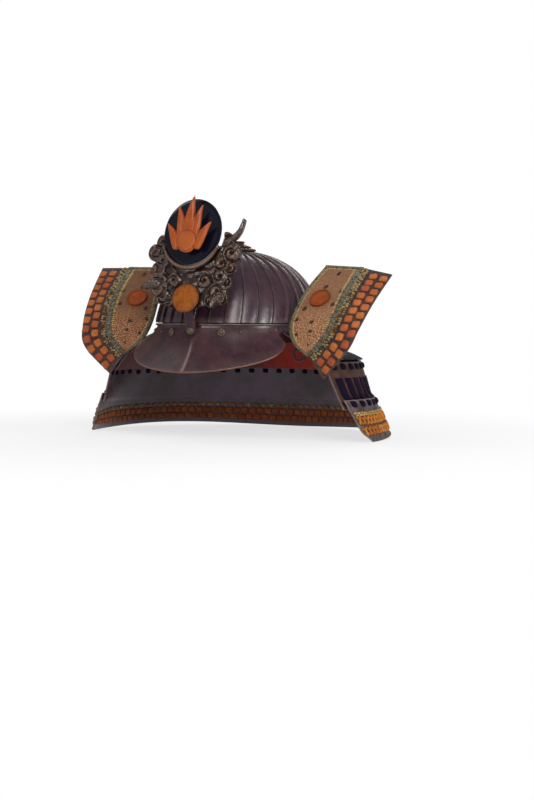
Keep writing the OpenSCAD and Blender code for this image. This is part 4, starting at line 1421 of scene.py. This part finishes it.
        def pillow(x: Array, y: Array) -> Array:
            reach = np.maximum(np.abs(x), np.abs(y))
            return (1 - reach ** 3) ** 0.6 * (0.9 + 0.1 * np.cos(3 * math.pi * x))

        block = Pad.from_grid(7, 7, pillow, corner=4.5)
        middle = 0.605
        rows = (("inner_pads", BROWN, (middle, 0.79), (0.95, 0.09), ("inner_blocks",)),
                ("inner_top_pads", INNER_BEADS, (0.445,), (0.72, 0.052), ()))
        for name, finish, at, (wide, tall), nodes in rows:
            places = np.array([p for v in at for p in self.row(self.blocks, v, 0.5 * (v == middle))])
            near = smooth(0.8, 1.0, np.abs(places[:, 0]))
            places[:, 1] = middle + (places[:, 1] - middle) * (1 - 0.3 * near) + 0.05 * near
            halves = np.stack([0 * near + wide / self.blocks, tall * (1 - 0.3 * near)], -1)
            inner = block.stamp(name, face, places, halves, -2.3 * MM, self.shape.t, (0.011, 0.009), 12, 0.04)
            settle(inner, finish, "lame_4", "orange_lacing", *nodes)
        path = lambda k: ((2 * (0.002 + 0.996 * k) - 1) / self.spread, 0 * k + 0.966)
        edge = moulding("lame_4_rim", face, path, 3.6 * MM, 1.2 * MM, 220, 0.9)
        settle(edge, EDGE_BRAID, "lame_4", "dark_iron", "lame_4_edging")

    def build(self) -> None:
        """Builds the neck guard."""
        self.lame(0, LAME_RED, LAME_DARK, "helmet", "red_lacquered_rawhide")
        self.lame(1, LAME_RED, LAME_DARK, "helmet", "red_lacquered_rawhide")
        self.lame(2, LAME_INSIDE, LAME_WORN, "lame_3", "dark_lacquered_rawhide")
        self.lame(3, LAME_INSIDE, LAME_PATCHY, "lame_4", "dark_lacquered_rawhide")
        self.lace()
        self.knot()
        head = Pad.from_grid(6, 6, lambda x, y: np.maximum(0, 1 - np.minimum(1, x * x + y * y)) ** 0.5)
        rivets = head.stamp("guard_rivets", self.shape.lame(0),
                            [(u, 0.09) for u in np.linspace(-0.94, 0.94, 17)],
                            (0.012, 0.075), 1.6 * MM, 0, (0.004, 0.004), 15)
        settle(rivets, IRON, "helmet", "dark_iron", "neck_rivets")


@dataclass
class WingPart:
    """One wing, drawn for the wearer's left and turned over for the right."""

    shape: WingShape
    side: Side
    length: float = 150 * MM
    inner_w: float = 5.2 * MM
    seam_w: float = 9 * MM
    blocks: int = 12
    block_half: float = 6.3 * MM
    badge: Pair = (0.45, 0.69)
    badge_r: float = 15 * MM

    def width(self, surface: Surface, v: Array) -> Array:
        """A face's width at each v."""
        v = np.asarray(v, float)
        return np.linalg.norm(surface(0 * v + 1, v) - surface(0 * v, v), axis=-1)

    def from_inner(self, v: Array, d: float) -> Array:
        """The u that lies d from the inner edge."""
        return np.minimum(d / self.width(self.shape.upper, v), 0.5)

    def from_seam(self, v: Array, d: float) -> Array:
        """The u that lies d from the seam."""
        return 1 - np.minimum(d / self.width(self.shape.upper, v), 0.5)

    def even(self, surface: Surface, u: float, shares: Array) -> Array:
        """The v that lie at even shares of the way along a surface at u."""
        v = np.linspace(0, 1, 400)
        steps = np.linalg.norm(np.diff(surface(u + 0 * v, v), axis=0), axis=-1)
        return np.interp(shares, np.concatenate([[0], np.cumsum(steps)]) / steps.sum(), v)

    def taper(self, k: Array) -> Array:
        """Share of a border's width, smaller towards the wing's tip."""
        return 0.3 + 0.7 * smooth(0.0, 0.16, k)

    def plates(self) -> List[Piece]:
        """The two plates and the leather."""
        s = self.shape
        edge = lambda x, y: 0.6 * smooth(0.03, 0.0, np.minimum(y, 1 - y)) + 0.5 * smooth(0.96, 1.0, x)
        halves = (("wing_plate_skin", s.upper), ("laced_wing_skin", lambda x, y: s.lower(0.01 + 0.99 * x, y)))
        inner, outer = (shade(thicken(grid(name, 24, 60, face, marks={"wear": edge}), s.t, 0.4 * MM))
                        for name, face in halves)

        def hide(x: Array, y: Array) -> Array:
            v = 0.03 + 0.935 * y
            start, end = self.from_inner(v, self.inner_w * 0.8), self.from_seam(v, self.seam_w * 0.9)
            return above(s.upper, start + (end - start) * x, v, 0 * x + 1 * MM)

        leather = grid("wing_hide", 40, 90, hide, size=(0.052, 0.14), marks={"fade": lambda x, y: y})
        thicken(leather, 0.9 * MM)
        # The wearer's right wing takes the darker copy of the leather, as painted shade.
        printed = LEATHER if self.side is Side.LEFT else LEATHER_PAINTED_SHADE
        return [(inner, WING_DARK, "wing_plate", "dark_lacquered_rawhide"),
                (outer, WING_DARK, "laced_wing", "dark_lacquered_rawhide"),
                (shade(leather), printed, "wing_leather", "printed_leather")]

    def borders(self) -> List[Piece]:
        """The braids round the leather and its stitches."""
        upper = self.shape.upper
        up = lambda k: 0.004 + 0.99 * k
        seam = moulding("wing_seam_braid", upper,
                        lambda k: (self.from_seam(up(k), self.seam_w * 0.46), up(k)),
                        self.seam_w, 1.7 * MM, 110, self.length, 0.6 * MM, taper=self.taper)
        inside = moulding("wing_inner_braid", upper,
                          lambda k: (self.from_inner(up(k), self.inner_w * 0.5), up(k)),
                          self.inner_w, 1.9 * MM, 110, self.length, 0.1 * MM, taper=self.taper)
        over = moulding("wing_top_braid", upper, lambda k: (0.01 + 0.95 * k, 0 * k + 0.982), self.inner_w,
                        2.1 * MM, 40, 0.06, 0.2 * MM)
        bead = Pad.from_grid(5, 4, beaded)
        rise = self.even(upper, 0.5, np.linspace(0.08, 0.94, 46))
        line = list(zip(self.from_inner(rise, self.inner_w + 1.3 * MM), rise))
        slant = list(zip(self.from_seam(rise, self.seam_w + 1.9 * MM), rise))
        top = [(u, 0.957) for u in np.linspace(0.1, 0.84, 26)]
        rows = ((line, (1.2 * MM, 0.8 * MM), 1.1 * MM, (0.002, 0.001), 15),
                (slant, (2.6 * MM, 0.72 * MM), 1.1 * MM, (0.004, 0.001), 25),
                (top, (0.55 * MM, 1.2 * MM), 0.8 * MM, (0.001, 0.002), 0))
        stitches = join("wing_stitches", [
            bead.stamp("wing_stitches", upper, row, half, height, 0.8 * MM, size, 21 + i, 0.08, turn,
                       real=True)
            for i, (row, half, height, size, turn) in enumerate(rows)])
        return [(seam, PATCHED, "wing_piping", "green_braid"), (inside, BORDER, "", "green_braid"),
                (over, BORDER, "", "green_braid"), (stitches, STITCH, "", "green_braid")]

    def cords(self) -> Piece:
        """The small knots along the seam, with a pair of larger ones beside each block."""
        lower = self.shape.lower
        bead = Pad.from_grid(5, 5, beaded, corner=3)
        rise = self.even(lower, 0.1, np.linspace(0.02, 0.98, 48))
        row = list(zip(1.2 * MM / self.width(lower, rise), rise))
        small = bead.stamp("wing_knots", lower, row, (1.7 * MM, 1.3 * MM), 2 * MM, 0, (0.003, 0.002), 24,
                           0.18,
                           25, real=True)
        rise = self.even(lower, 0.15, np.linspace(0.03, 0.97, 42))
        pairs = [(u / w, v + dv) for v, w in zip(rise, self.width(lower, rise))
                 for u, dv in ((4.3 * MM, 0.006), (7.2 * MM, -0.006))]
        large = bead.stamp("wing_pairs", lower, pairs, (2 * MM, 1.55 * MM), 2.6 * MM, 0, (0.004, 0.003), 25,
                           0.25,
                           40, real=True)
        return join("wing_knots", [small, large]), KNOTS, "", "green_braid"

    def lacing(self) -> Piece:
        """The two columns of orange lacing."""
        def pillow(x: Array, y: Array) -> Array:
            reach = np.maximum(np.abs(x), np.abs(y))
            fold = 0.14 * np.exp(-((x - 0.8 * y) / 0.3) ** 2) - 0.1 * np.exp(-((x + y) / 0.18) ** 2)
            return (1 - reach ** 3.2) ** 0.55 * (0.9 + fold)

        block = Pad.from_grid(10, 10, pillow, corner=4)
        face = self.shape.lower
        step = np.arange(self.blocks)
        shares = 0.04 + 0.935 * (step + 0.25) / self.blocks
        columns = [(u, self.even(face, u, shares)) for u in (0.47, 0.82)]
        places = np.array([(u, v) for u, column in columns for v in column])
        v = np.linspace(0, 1, 60)
        length = np.linalg.norm(np.diff(face(0 * v + 0.6, v), axis=0), axis=-1).sum()
        wide = np.minimum(self.block_half, 0.172 * self.width(face, places[:, 1]))
        halves = np.stack([wide, 0 * wide + 0.43 * length / self.blocks], -1)
        halves[:, 1] = np.minimum(halves[:, 1], self.block_half)
        pads = block.stamp("wing_lacing_pads", face, places, halves, 3.8 * MM, 0, (0.01, 0.01), 31, 0.07,
                           10, real=True)
        return pads, ORANGE, "wing_blocks", "orange_lacing"

    def disc(self) -> Piece:
        """The red disc, with its raised rim."""
        r = self.badge_r
        profile = [(0, 1.9 * MM), (r * 0.6, 1.85 * MM), (r * 0.86, 1.7 * MM), (r * 0.89, 1.9 * MM),
                   (r * 0.93, 2.8 * MM),
                   (r * 0.965, 2.7 * MM), (r, 2.1 * MM), (r, 0), (0, 0)]
        obj = lathe("wing_disc", profile, 72, np.zeros(3))
        away = np.hypot(*points_of(obj)[:, :2].T)
        ring = smooth(0.83 * r, 0.88 * r, away) * smooth(0.95 * r, 0.9 * r, away)
        mark(obj, "wear", ring + smooth(0.96 * r, r, away))
        stand_on(obj, self.shape.upper, *self.badge, 1.8 * MM)
        return obj, BADGE_RED, "wing_badge", "red_lacquer"

    def web(self) -> Piece:
        """The leather that closes the wing's root against the first two lames."""
        guard, lower = self.shape.guard, self.shape.lower

        def at(x: Array, y: Array) -> Array:
            first = guard.lame(0)(0 * x + 0.985, 0 * x + 0.93)
            second = guard.lame(1)(0 * x + 0.985, 0 * x + 0.9)
            near = first + (second - first) * x[..., None]
            return near * (1 - y[..., None]) + lower(0.85 * x, 0 * x + 0.03) * y[..., None]

        web = shade(thicken(grid("wing_root_web", 16, 10, at, marks=UNWORN), 1.2 * MM))
        return web, LAME_DARK, "", "dark_lacquered_rawhide"

    def build(self) -> None:
        """Builds the wing."""
        pieces = self.plates() + self.borders() + [self.web(), self.cords(), self.lacing(), self.disc()]
        for obj, finish, node, slot in pieces:
            obj.name = f"{self.side.word}_{obj.name}"
            if self.side is Side.RIGHT:
                flip(obj)
            settle(obj, finish, "helmet", slot, *([f"{self.side.word}_{node}"] if node else []))


@dataclass(frozen=True)
class Tip:
    """A long tip of a scroll, from start to end in millimetres, bowed out to its right."""

    start: Pair
    end: Pair
    bow: float
    r: float

    def trace(self, x: Array, z: Array) -> Tuple[Array, Array]:
        """Distance inside the tip at (x, z), in millimetres, and how far along it a point is."""
        a, b = np.array(self.start), np.array(self.end)
        side = np.array([b[1] - a[1], a[0] - b[0]]) / np.linalg.norm(b - a)
        best, where = np.full(x.shape, -99.0), np.zeros(x.shape)
        for k in np.linspace(0, 1, 33):
            cx, cz = a + (b - a) * k + side * self.bow * math.sin(math.pi * k)
            d = self.r * (1 - 0.6 * k) - np.hypot(x - cx, z - cz)
            where = np.where(d > best, k, where)
            best = np.maximum(best, d)
        return best, where


@dataclass
class CrestPart:
    """The crest: carved clouds, a lip, a dark disc with its ornament, and a gold disc."""

    bowl: Bowl
    lean: float = 13.0
    gap: float = 24 * MM
    z: float = 59 * MM
    sweep: float = 9.5
    gold_r: float = 20 * MM
    dark: Pair = (43 * MM, 46 * MM)
    rise: float = 90 * MM
    dark_t: float = 4 * MM
    mount_t: float = 5 * MM
    lip: float = 6 * MM
    ornament_gap: float = 9 * MM
    ornament_t: float = 5 * MM
    flame_h: float = 3.4 * MM
    lobes: Tuple[Triple, ...] = (
        (35, -1, 10), (49, 2, 9), (43, 11, 13), (23, 25, 10), (53, 22, 9), (44, 31, 11), (56, 42, 9),
        (45, 49, 11),
        (57, 64, 13), (48, 82, 10), (-27, -2, 8), (-39, 4, 11), (-46, 16, 13), (-23, 26, 10), (-43, 27, 11),
        (-53, 41, 12), (-46, 54, 11), (-60, 66, 12), (-50, 80, 10))
    tips: Tuple[Tip, ...] = (Tip((47, 78), (69, 109), 5.5, 5), Tip((46, 4), (36, -10), 3, 7),
                             Tip((-50, 22), (-72, 20), 3, 9))

    def place(self, points: Array) -> Array:
        """Points from the crest's own frame (across, forwards, up) to the helmet's."""
        a = math.radians(-self.lean)
        x, y, z = points[..., 0], -points[..., 1], points[..., 2]
        return stack(x, y * math.cos(a) - z * math.sin(a) - self.bowl.half_d - self.gap,
                     y * math.sin(a) + z * math.cos(a) + self.z)

    def relief(self, name: str, area: Tuple[float, float, float, float], cell: float, inside: Surface,
               height: Surface,
               back: float, bend: Callable[[Array], Array]) -> Object:
        """Carves a shape with an outline out of a board.

        Args:
            name: The piece's name.
            area: Lowest x and z and highest x and z.
            cell: Size of the grid's cells.
            inside: Distance inside the outline at (x, z).
            height: Height of the carving at (x, z).
            back: Depth of the flat back.
            bend: The bend of (x, forwards, z) points before they are placed.

        Returns:
            The carved piece.
        """
        x0, z0, x1, z1 = area
        nx, nz = round((x1 - x0) / cell), round((z1 - z0) / cell)
        obj = grid(name, nx, nz, lambda x, y: stack(x0 + (x1 - x0) * x, 0 * x, z0 + (z1 - z0) * y))
        points = points_of(obj)
        x, z = points[:, 0].copy(), points[:, 2].copy()
        for _ in range(4):
            d = inside(x, z)
            gx = (inside(x + 1e-4, z) - inside(x - 1e-4, z)) / 2e-4
            gz = (inside(x, z + 1e-4) - inside(x, z - 1e-4)) / 2e-4
            size = np.maximum(gx * gx + gz * gz, 0.2)
            near = (d < 0) & (d > -1.5 * cell)
            x = x - np.where(near, d * gx / size, 0)
            z = z - np.where(near, d * gz / size, 0)
        keep = inside(points[:, 0], points[:, 2]) > -1.2 * cell
        edge = inside(points[:, 0], points[:, 2]) < 0
        top = np.where(edge, -1.2 * MM, height(x, z))
        faces = [tuple(p.vertices) for p in obj.data.polygons]
        solid = [f for f in faces if all(keep[list(f)]) and not all(edge[list(f)])]
        bpy.data.objects.remove(obj)
        used = sorted({i for f in solid for i in f})
        index = {old: new for new, old in enumerate(used)}
        front = np.stack([x[used], np.maximum(top[used], 1.5 * MM - back), z[used]], -1)
        rear = np.stack([x[used], np.full(len(used), -back), z[used]], -1)
        n = len(used)
        shown = [tuple(index[i] for i in f) for f in solid]
        sides: Dict[Tuple[int, int], int] = {}
        for f in shown:
            for a, b in zip(f, f[1:] + f[:1]):
                sides[(a, b)] = 1
        walls = [(b, a, a + n, b + n) for a, b in sides if (b, a) not in sides]
        every = self.place(bend(np.concatenate([front, rear])))
        carved = from_faces(name, every, shown + [tuple(i + n for i in f[::-1]) for f in shown] + walls)
        # The highest points are marked towards the finish's paler third colour: rubbed lacquer and painted
        # highlight both.
        mark(carved, "wear", np.concatenate([np.clip(front[:, 1] / (6.2 * MM), 0, 1) ** 4, np.zeros(n)]))
        return shade(close(carved, merge=False), 60)

    def swept(self, points: Array) -> Array:
        """Bends the mount back on both sides of its middle."""
        a = math.radians(self.sweep)
        x, y, z = points[..., 0], points[..., 1], points[..., 2]
        return stack(x * math.cos(a) + np.sign(x) * y * math.sin(a),
                     y * math.cos(a) - np.abs(x) * math.sin(a), z)

    def mount_inside(self, x: Array, z: Array) -> Array:
        """Distance inside the cloud mount's outline."""
        mx, mz = x / MM, z / MM
        ax = np.abs(mx)
        d = np.minimum.reduce([mz + 14 - 0.2 * ax, 52 - ax, 76 - mz, 60 + 0.6 * ax - mz])
        for cx, cz, r in self.lobes:
            d = np.maximum(d, r - np.hypot(mx - cx, mz - cz))
        for tip in self.tips:
            d = np.maximum(d, tip.trace(mx, mz)[0])
        ellipse = np.hypot(x / (self.dark[0] + self.lip * 0.3),
                           (z - self.rise) / (self.dark[1] + self.lip * 0.3))
        open_top = np.where(z > self.rise - 0.35 * self.dark[1], (ellipse - 1) * self.dark[0], 1.0)
        return np.minimum(d * MM, open_top)

    def mount_height(self, x: Array, z: Array) -> Array:
        """Height of the carving: rolled clouds with deep eyes, on a ground of flowing grooves."""
        mx, mz = x / MM, z / MM
        ellipse = np.hypot(x / self.dark[0], (z - self.rise) / self.dark[1])
        flow = np.sin(0.21 * mx + 1.3 * np.sin(0.17 * mz)) * np.sin(0.3 * mz + 0.9 * np.sin(0.2 * mx))
        height = -1.2 + 0.7 * np.cos(ellipse * 30 + 1.6 * np.sin(mx / 7)) * smooth(1.5, 1.1,
                                                                                   ellipse) + 1.1 * flow
        for i, (cx, cz, r) in enumerate(self.lobes):
            d = np.hypot(mx - cx, mz - cz) / r
            angle = np.arctan2(mz - cz, mx - cx) * (1 if (i % 2) == (cx > 0) else -1)
            turn = (0.95 * d + angle / (2 * np.pi) + 0.37 * i) % 1.0
            groove = np.exp(-(np.minimum(turn, 1 - turn) / 0.13) ** 2)
            body = np.sqrt(np.clip(1 - (d * 0.94) ** 4, 0, 1))
            eye = 5.2 * np.exp(-(d / 0.22) ** 2)
            lobe = body * (2.2 + 0.2 * r + 1.2 * turn) - 3.2 * groove * smooth(0.15, 0.4, d) * smooth(1.0,
                                                                                                      0.85,
                                                                                                      d) - 0.4 - eye
            lobe = lobe + 0.45 * np.sin(0.8 * mx + 3 * i) * np.sin(0.7 * mz - i) * body
            height = np.where(d < 1.03, lobe, height)
        for i, tip in enumerate(self.tips):
            inside, up = tip.trace(mx, mz)
            half = tip.r * (1 - 0.6 * up)
            rib = np.sqrt(np.clip(inside / half, 0, 1))
            vein = np.exp(-((inside / half - 0.55) / 0.16) ** 2)
            curl = 0.35 * np.cos(up * 24 + inside)
            height = np.where(inside > 0, 0.6 + 4.4 * rib - 1.3 * vein * (1 - up) + curl, height)
        return height * MM

    def ornament_inside(self, x: Array, z: Array) -> Array:
        """Distance inside the ornament: a round jewel with tongues of flame."""
        ax, az = x / MM, (z - self.rise) / MM + 16
        best = 15 - np.hypot(ax, az)
        tongues = [(10, 6, 0, 15, 44, 8), (16, -6, -14, 14, 36, 9)]
        tongues = tongues + [(-cx, cz, -turn, w, h, -bend) for cx, cz, turn, w, h,
                             bend in tongues] + [(0, 4, 0, 18, 60, 4)]
        for cx, cz, turn, w, h, bend in tongues:
            a = math.radians(turn)
            for k in np.linspace(0, 0.985, 24):
                px, pz = bend * k * k, h * k
                r = w / 2 * (1 - k) ** 0.7 * (0.75 + 0.5 * math.sin(math.pi * k))
                mx, mz = cx + px * math.cos(a) - pz * math.sin(a), cz + px * math.sin(a) + pz * math.cos(a)
                best = np.maximum(best, r - np.hypot(ax - mx, az - mz))
        return best * MM

    def ornament_height(self, x: Array, z: Array) -> Array:
        """Height of the ornament: rounded edges, a domed jewel and a groove up each flame."""
        ax, az = x / MM, (z - self.rise) / MM + 16
        edge = np.sqrt(np.clip(self.ornament_inside(x, z) / (2.4 * MM), 0, 1))
        d = np.hypot(ax, az)
        jewel = np.where(d < 13.4, 1.6 * np.sqrt(np.clip(1 - (d / 13.4) ** 2, 0, 1)) - 0.2, 0)
        ring = -1.5 * np.exp(-((d - 14.2) / 0.8) ** 2)
        groove = -0.9 * np.exp(-((np.abs(ax) - 7.5 - 0.08 * az) / 0.8) ** 2) * (az > 14)
        return (edge * 3.4 + jewel + ring + groove) * MM

    def discs(self) -> None:
        """Builds the dark disc, its lip and the gold disc."""
        w, h = self.dark

        def dark(x: Array, y: Array) -> Array:
            turn = 2 * np.pi * x
            r = np.interp(y, [0, 0.5, 0.56, 1], [0, 1, 1, 0])
            lift = np.interp(y, [0, 0.4, 0.47, 0.5, 0.56, 1],
                             [self.dark_t, self.dark_t - 1.2 * MM, self.dark_t - 1.3 * MM,
                                                                self.dark_t - 2.2 * MM, 0.3 * MM, 0.3 * MM])
            lift = np.where(y < 0.47, lift + (0.2 - 1.6 * r * r) * MM, lift)
            return self.place(stack(w * r * np.cos(turn), lift, self.rise + h * r * np.sin(turn)))

        wear = lambda x, y: 0.1 * smooth(0.47, 0.5, y) * smooth(0.54, 0.5, y)
        disc = close(grid("dark_oval_disc", 128, 50, dark, wrap=True, marks={"wear": wear}), merge=False)
        settle(shade(disc, 40), DISC_BLACK, "crest", "black_lacquer", "dark_disc")

        def lip(x: Array, y: Array) -> Array:
            turn = math.radians(180 + 22) + math.radians(180 - 44) * x
            swell = np.sin(np.pi * np.clip(x, 0, 1)) ** 0.25
            section = 2 * np.pi * y
            out = self.lip / 2 * (1 + np.cos(section)) * swell
            lift = 2.4 * MM + 3.4 * MM * np.sin(section) * swell + 0.5 * MM
            return self.place(stack((w + out) * np.cos(turn), lift, self.rise + (h + out) * np.sin(turn)))

        wear = lambda x, y: smooth(0.1, 0.25, y) * smooth(0.4, 0.25, y)
        rim = close(grid("disc_lip_roll", 96, 14, lip, marks={"wear": wear}))
        settle(shade(rim, 60), CARVING, "crest", "carved_bronze_lacquer", "disc_lip")

        def gold(x: Array, y: Array) -> Array:
            turn = 2 * np.pi * x
            r = np.interp(y, [0, 0.5, 0.58, 0.66, 1], [0, 0.88, 0.97, 1, 0]) * self.gold_r
            lift = np.interp(y, [0, 0.3, 0.5, 0.58, 0.62, 0.68, 1], [2.6, 2.5, 2.0, 1.9, 1.2, 0.0, 0.0]) * MM
            dent = 0.25 * MM * np.sin(3 * turn + 1) * np.sin(6 * y)
            return self.place(stack(r * np.cos(turn), lift + dent * (y < 0.5), r * np.sin(turn)))

        wear = lambda x, y: smooth(0.46, 0.56, y)
        disc = close(grid("gold_disc_plate", 96, 36, gold, wrap=True, marks={"wear": wear}), merge=False)
        settle(shade(disc, 50), DISC_GOLD, "crest", "gold_lacquer", "gold_disc")

    def build(self) -> None:
        """Builds the crest."""
        mount = self.relief("carved_clouds", (-80 * MM, -18 * MM, 76 * MM, 114 * MM), 0.65 * MM,
                            self.mount_inside,
                            self.mount_height, self.mount_t, self.swept)
        settle(mount, CARVING, "crest", "carved_bronze_lacquer", "cloud_mount")
        self.discs()
        top = self.dark_t + self.ornament_gap
        lifted = lambda p: p + np.array([0, top + self.ornament_t - self.flame_h, 0])
        flames = self.relief("flame_carving", (-40 * MM, self.rise - 34 * MM, 44 * MM, self.rise + 50 * MM),
                             0.6 * MM,
                             self.ornament_inside, self.ornament_height, self.ornament_t - self.flame_h,
                             lifted)
        settle(flames, FLAME_RED, "crest", "red_lacquer", "flame_ornament")
        dress_nodes(IRON, "crest_tang", "crest_pins")


@dataclass
class Studio:
    """The floor, the lamps, the world and the camera."""

    azimuth: float = 27.0
    distance: float = 2.0
    height: float = 26.9 * MM
    yaw: float = -1.26
    pitch: float = 3.13
    roll: float = 0.33
    focal_px: float = 1406.4
    frame_px: float = 800.0
    sensor: float = 36.0

    def camera(self) -> None:
        """Places the camera where the photograph was taken from."""
        a, h = math.radians(self.azimuth), math.radians(self.azimuth + self.yaw)
        p, r = math.radians(self.pitch), math.radians(self.roll)
        forward = Vector((-math.sin(h) * math.cos(p), math.cos(h) * math.cos(p), -math.sin(p)))
        right = Vector((math.cos(h), math.sin(h), 0))
        up = right.cross(forward)
        right, up = right * math.cos(r) + up * math.sin(r), up * math.cos(r) - right * math.sin(r)
        data = bpy.data.cameras.new("camera")
        data.sensor_width = self.sensor
        data.lens = self.focal_px / self.frame_px * self.sensor
        camera = bpy.data.objects.new("camera", data)
        turn = Matrix((right, up, -forward)).transposed().to_4x4()
        place = Vector((self.distance * math.sin(a), -self.distance * math.cos(a), self.height))
        camera.matrix_world = Matrix.Translation(place) @ turn
        bpy.context.scene.collection.objects.link(camera)
        bpy.context.scene.camera = camera

    def lamp(self, name: str, place: Triple, size: Pair, power: float,
             aim: Triple = (0, 0, 0.02), colour: Colour = (1, 1, 1)) -> None:
        """Adds a soft rectangular lamp that looks at a point."""
        data = bpy.data.lights.new(name, "AREA")
        data.shape = "RECTANGLE"
        data.size, data.size_y = size
        data.energy = power
        data.color = colour
        lamp = bpy.data.objects.new(name, data)
        lamp.location = place
        lamp.rotation_euler = (Vector(aim) - Vector(place)).to_track_quat("-Z", "Y").to_euler()
        bpy.context.scene.collection.objects.link(lamp)

    def world(self) -> None:
        """A soft even light, with a white background."""
        world = bpy.data.worlds.new("studio")
        bpy.context.scene.world = world
        tree = Tree(world)
        path = tree.add("LightPath")
        seen = tree.maths("MAXIMUM", path.outputs["Is Camera Ray"], path.outputs["Is Transmission Ray"])
        up = tree.add("SeparateXYZ", {0: tree.add("TexCoord").outputs["Generated"]}).outputs["Z"]
        grey = tree.blend(tree.ramp(up, -0.2, 0.7), (0.14, 0.135, 0.14), (0.34, 0.335, 0.35))
        colour = tree.blend(seen, grey, (1.0, 1.0, 1.0))
        tree.add("OutputWorld",
                 {"Surface": tree.add("Background", {"Color": colour, "Strength": 1.0}).outputs[0]})

    def floor(self, level: float) -> None:
        """A pale floor that fades to white away from the helmet."""
        deselect()
        bpy.ops.mesh.primitive_circle_add(vertices=96, radius=6, fill_type="NGON", location=(0, 0, level))
        floor = bpy.context.object
        floor.name = "floor"
        material = bpy.data.materials.new("floor_paint")
        tree = Tree(material)
        place = tree.add("TexCoord").outputs["Object"]
        away = tree.add("VectorMath", {0: place}, operation="LENGTH").outputs["Value"]
        fade = tree.add("MapRange", {"Value": tree.ramp(away, 0.2, 0.75), "To Min": 0.7}).outputs["Result"]
        path = tree.add("LightPath")
        seen = tree.maths("MAXIMUM", path.outputs["Is Camera Ray"], path.outputs["Is Glossy Ray"])
        seen = tree.maths("MAXIMUM", seen, path.outputs["Is Transmission Ray"])
        paint = tree.add("BsdfPrincipled",
                         {"Base Color": (0.86, 0.865, 0.87), "Roughness": 0.9, "Specular IOR Level": 0.1})
        glow = tree.add("Emission", {"Color": (1.0, 1.0, 1.0), "Strength": 1.0})
        mixed = tree.add("MixShader",
                         {0: tree.maths("MULTIPLY", fade, seen), 1: paint.outputs[0], 2: glow.outputs[0]})
        tree.surface(mixed.outputs[0])
        floor.data.materials.append(material)

    def build(self, level: float) -> None:
        """Builds the studio round the helmet."""
        self.camera()
        self.lamp("key", (1.0, -1.45, 1.15), (0.6, 1.0), 17, colour=(1.0, 0.97, 0.93))
        self.lamp("fill", (-1.3, -0.2, 1.8), (1.2, 1.2), 9, colour=(1.0, 0.97, 0.93))
        self.lamp("side", (1.9, -0.4, 0.5), (0.4, 1.0), 18)
        self.lamp("front", (-0.2, -2.1, 0.1), (1.4, 0.5), 9, colour=(1.0, 0.97, 0.94))
        self.lamp("back", (-0.3, 1.7, 1.2), (0.8, 0.8), 8)
        self.world()
        self.floor(level)


def main() -> None:
    """Builds the helmet and the studio."""
    logging.basicConfig(level=logging.INFO, format="%(name)s %(message)s")
    scene = bpy.context.scene
    scene.view_settings.view_transform = "Standard"
    bowl = Bowl()
    guard = GuardShape(bowl)
    parts = [BowlPart(bowl), CrownPart(), VisorPart(VisorShape(bowl)), GuardPart(guard),
             WingPart(WingShape(guard), Side.LEFT), WingPart(WingShape(guard, rise=14 * MM), Side.RIGHT),
             CrestPart(bowl)]
    for part in parts:
        part.build()
    for side in Side:
        chin_ring(side)
    dress_nodes(IRON, "left_ring_staple", "right_ring_staple", "back_ring")
    dress_nodes(GILT, "back_ring_staple")
    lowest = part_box("neck_lame_4")[0].z
    Studio().build(lowest)


if __name__ == "__main__":
    main()
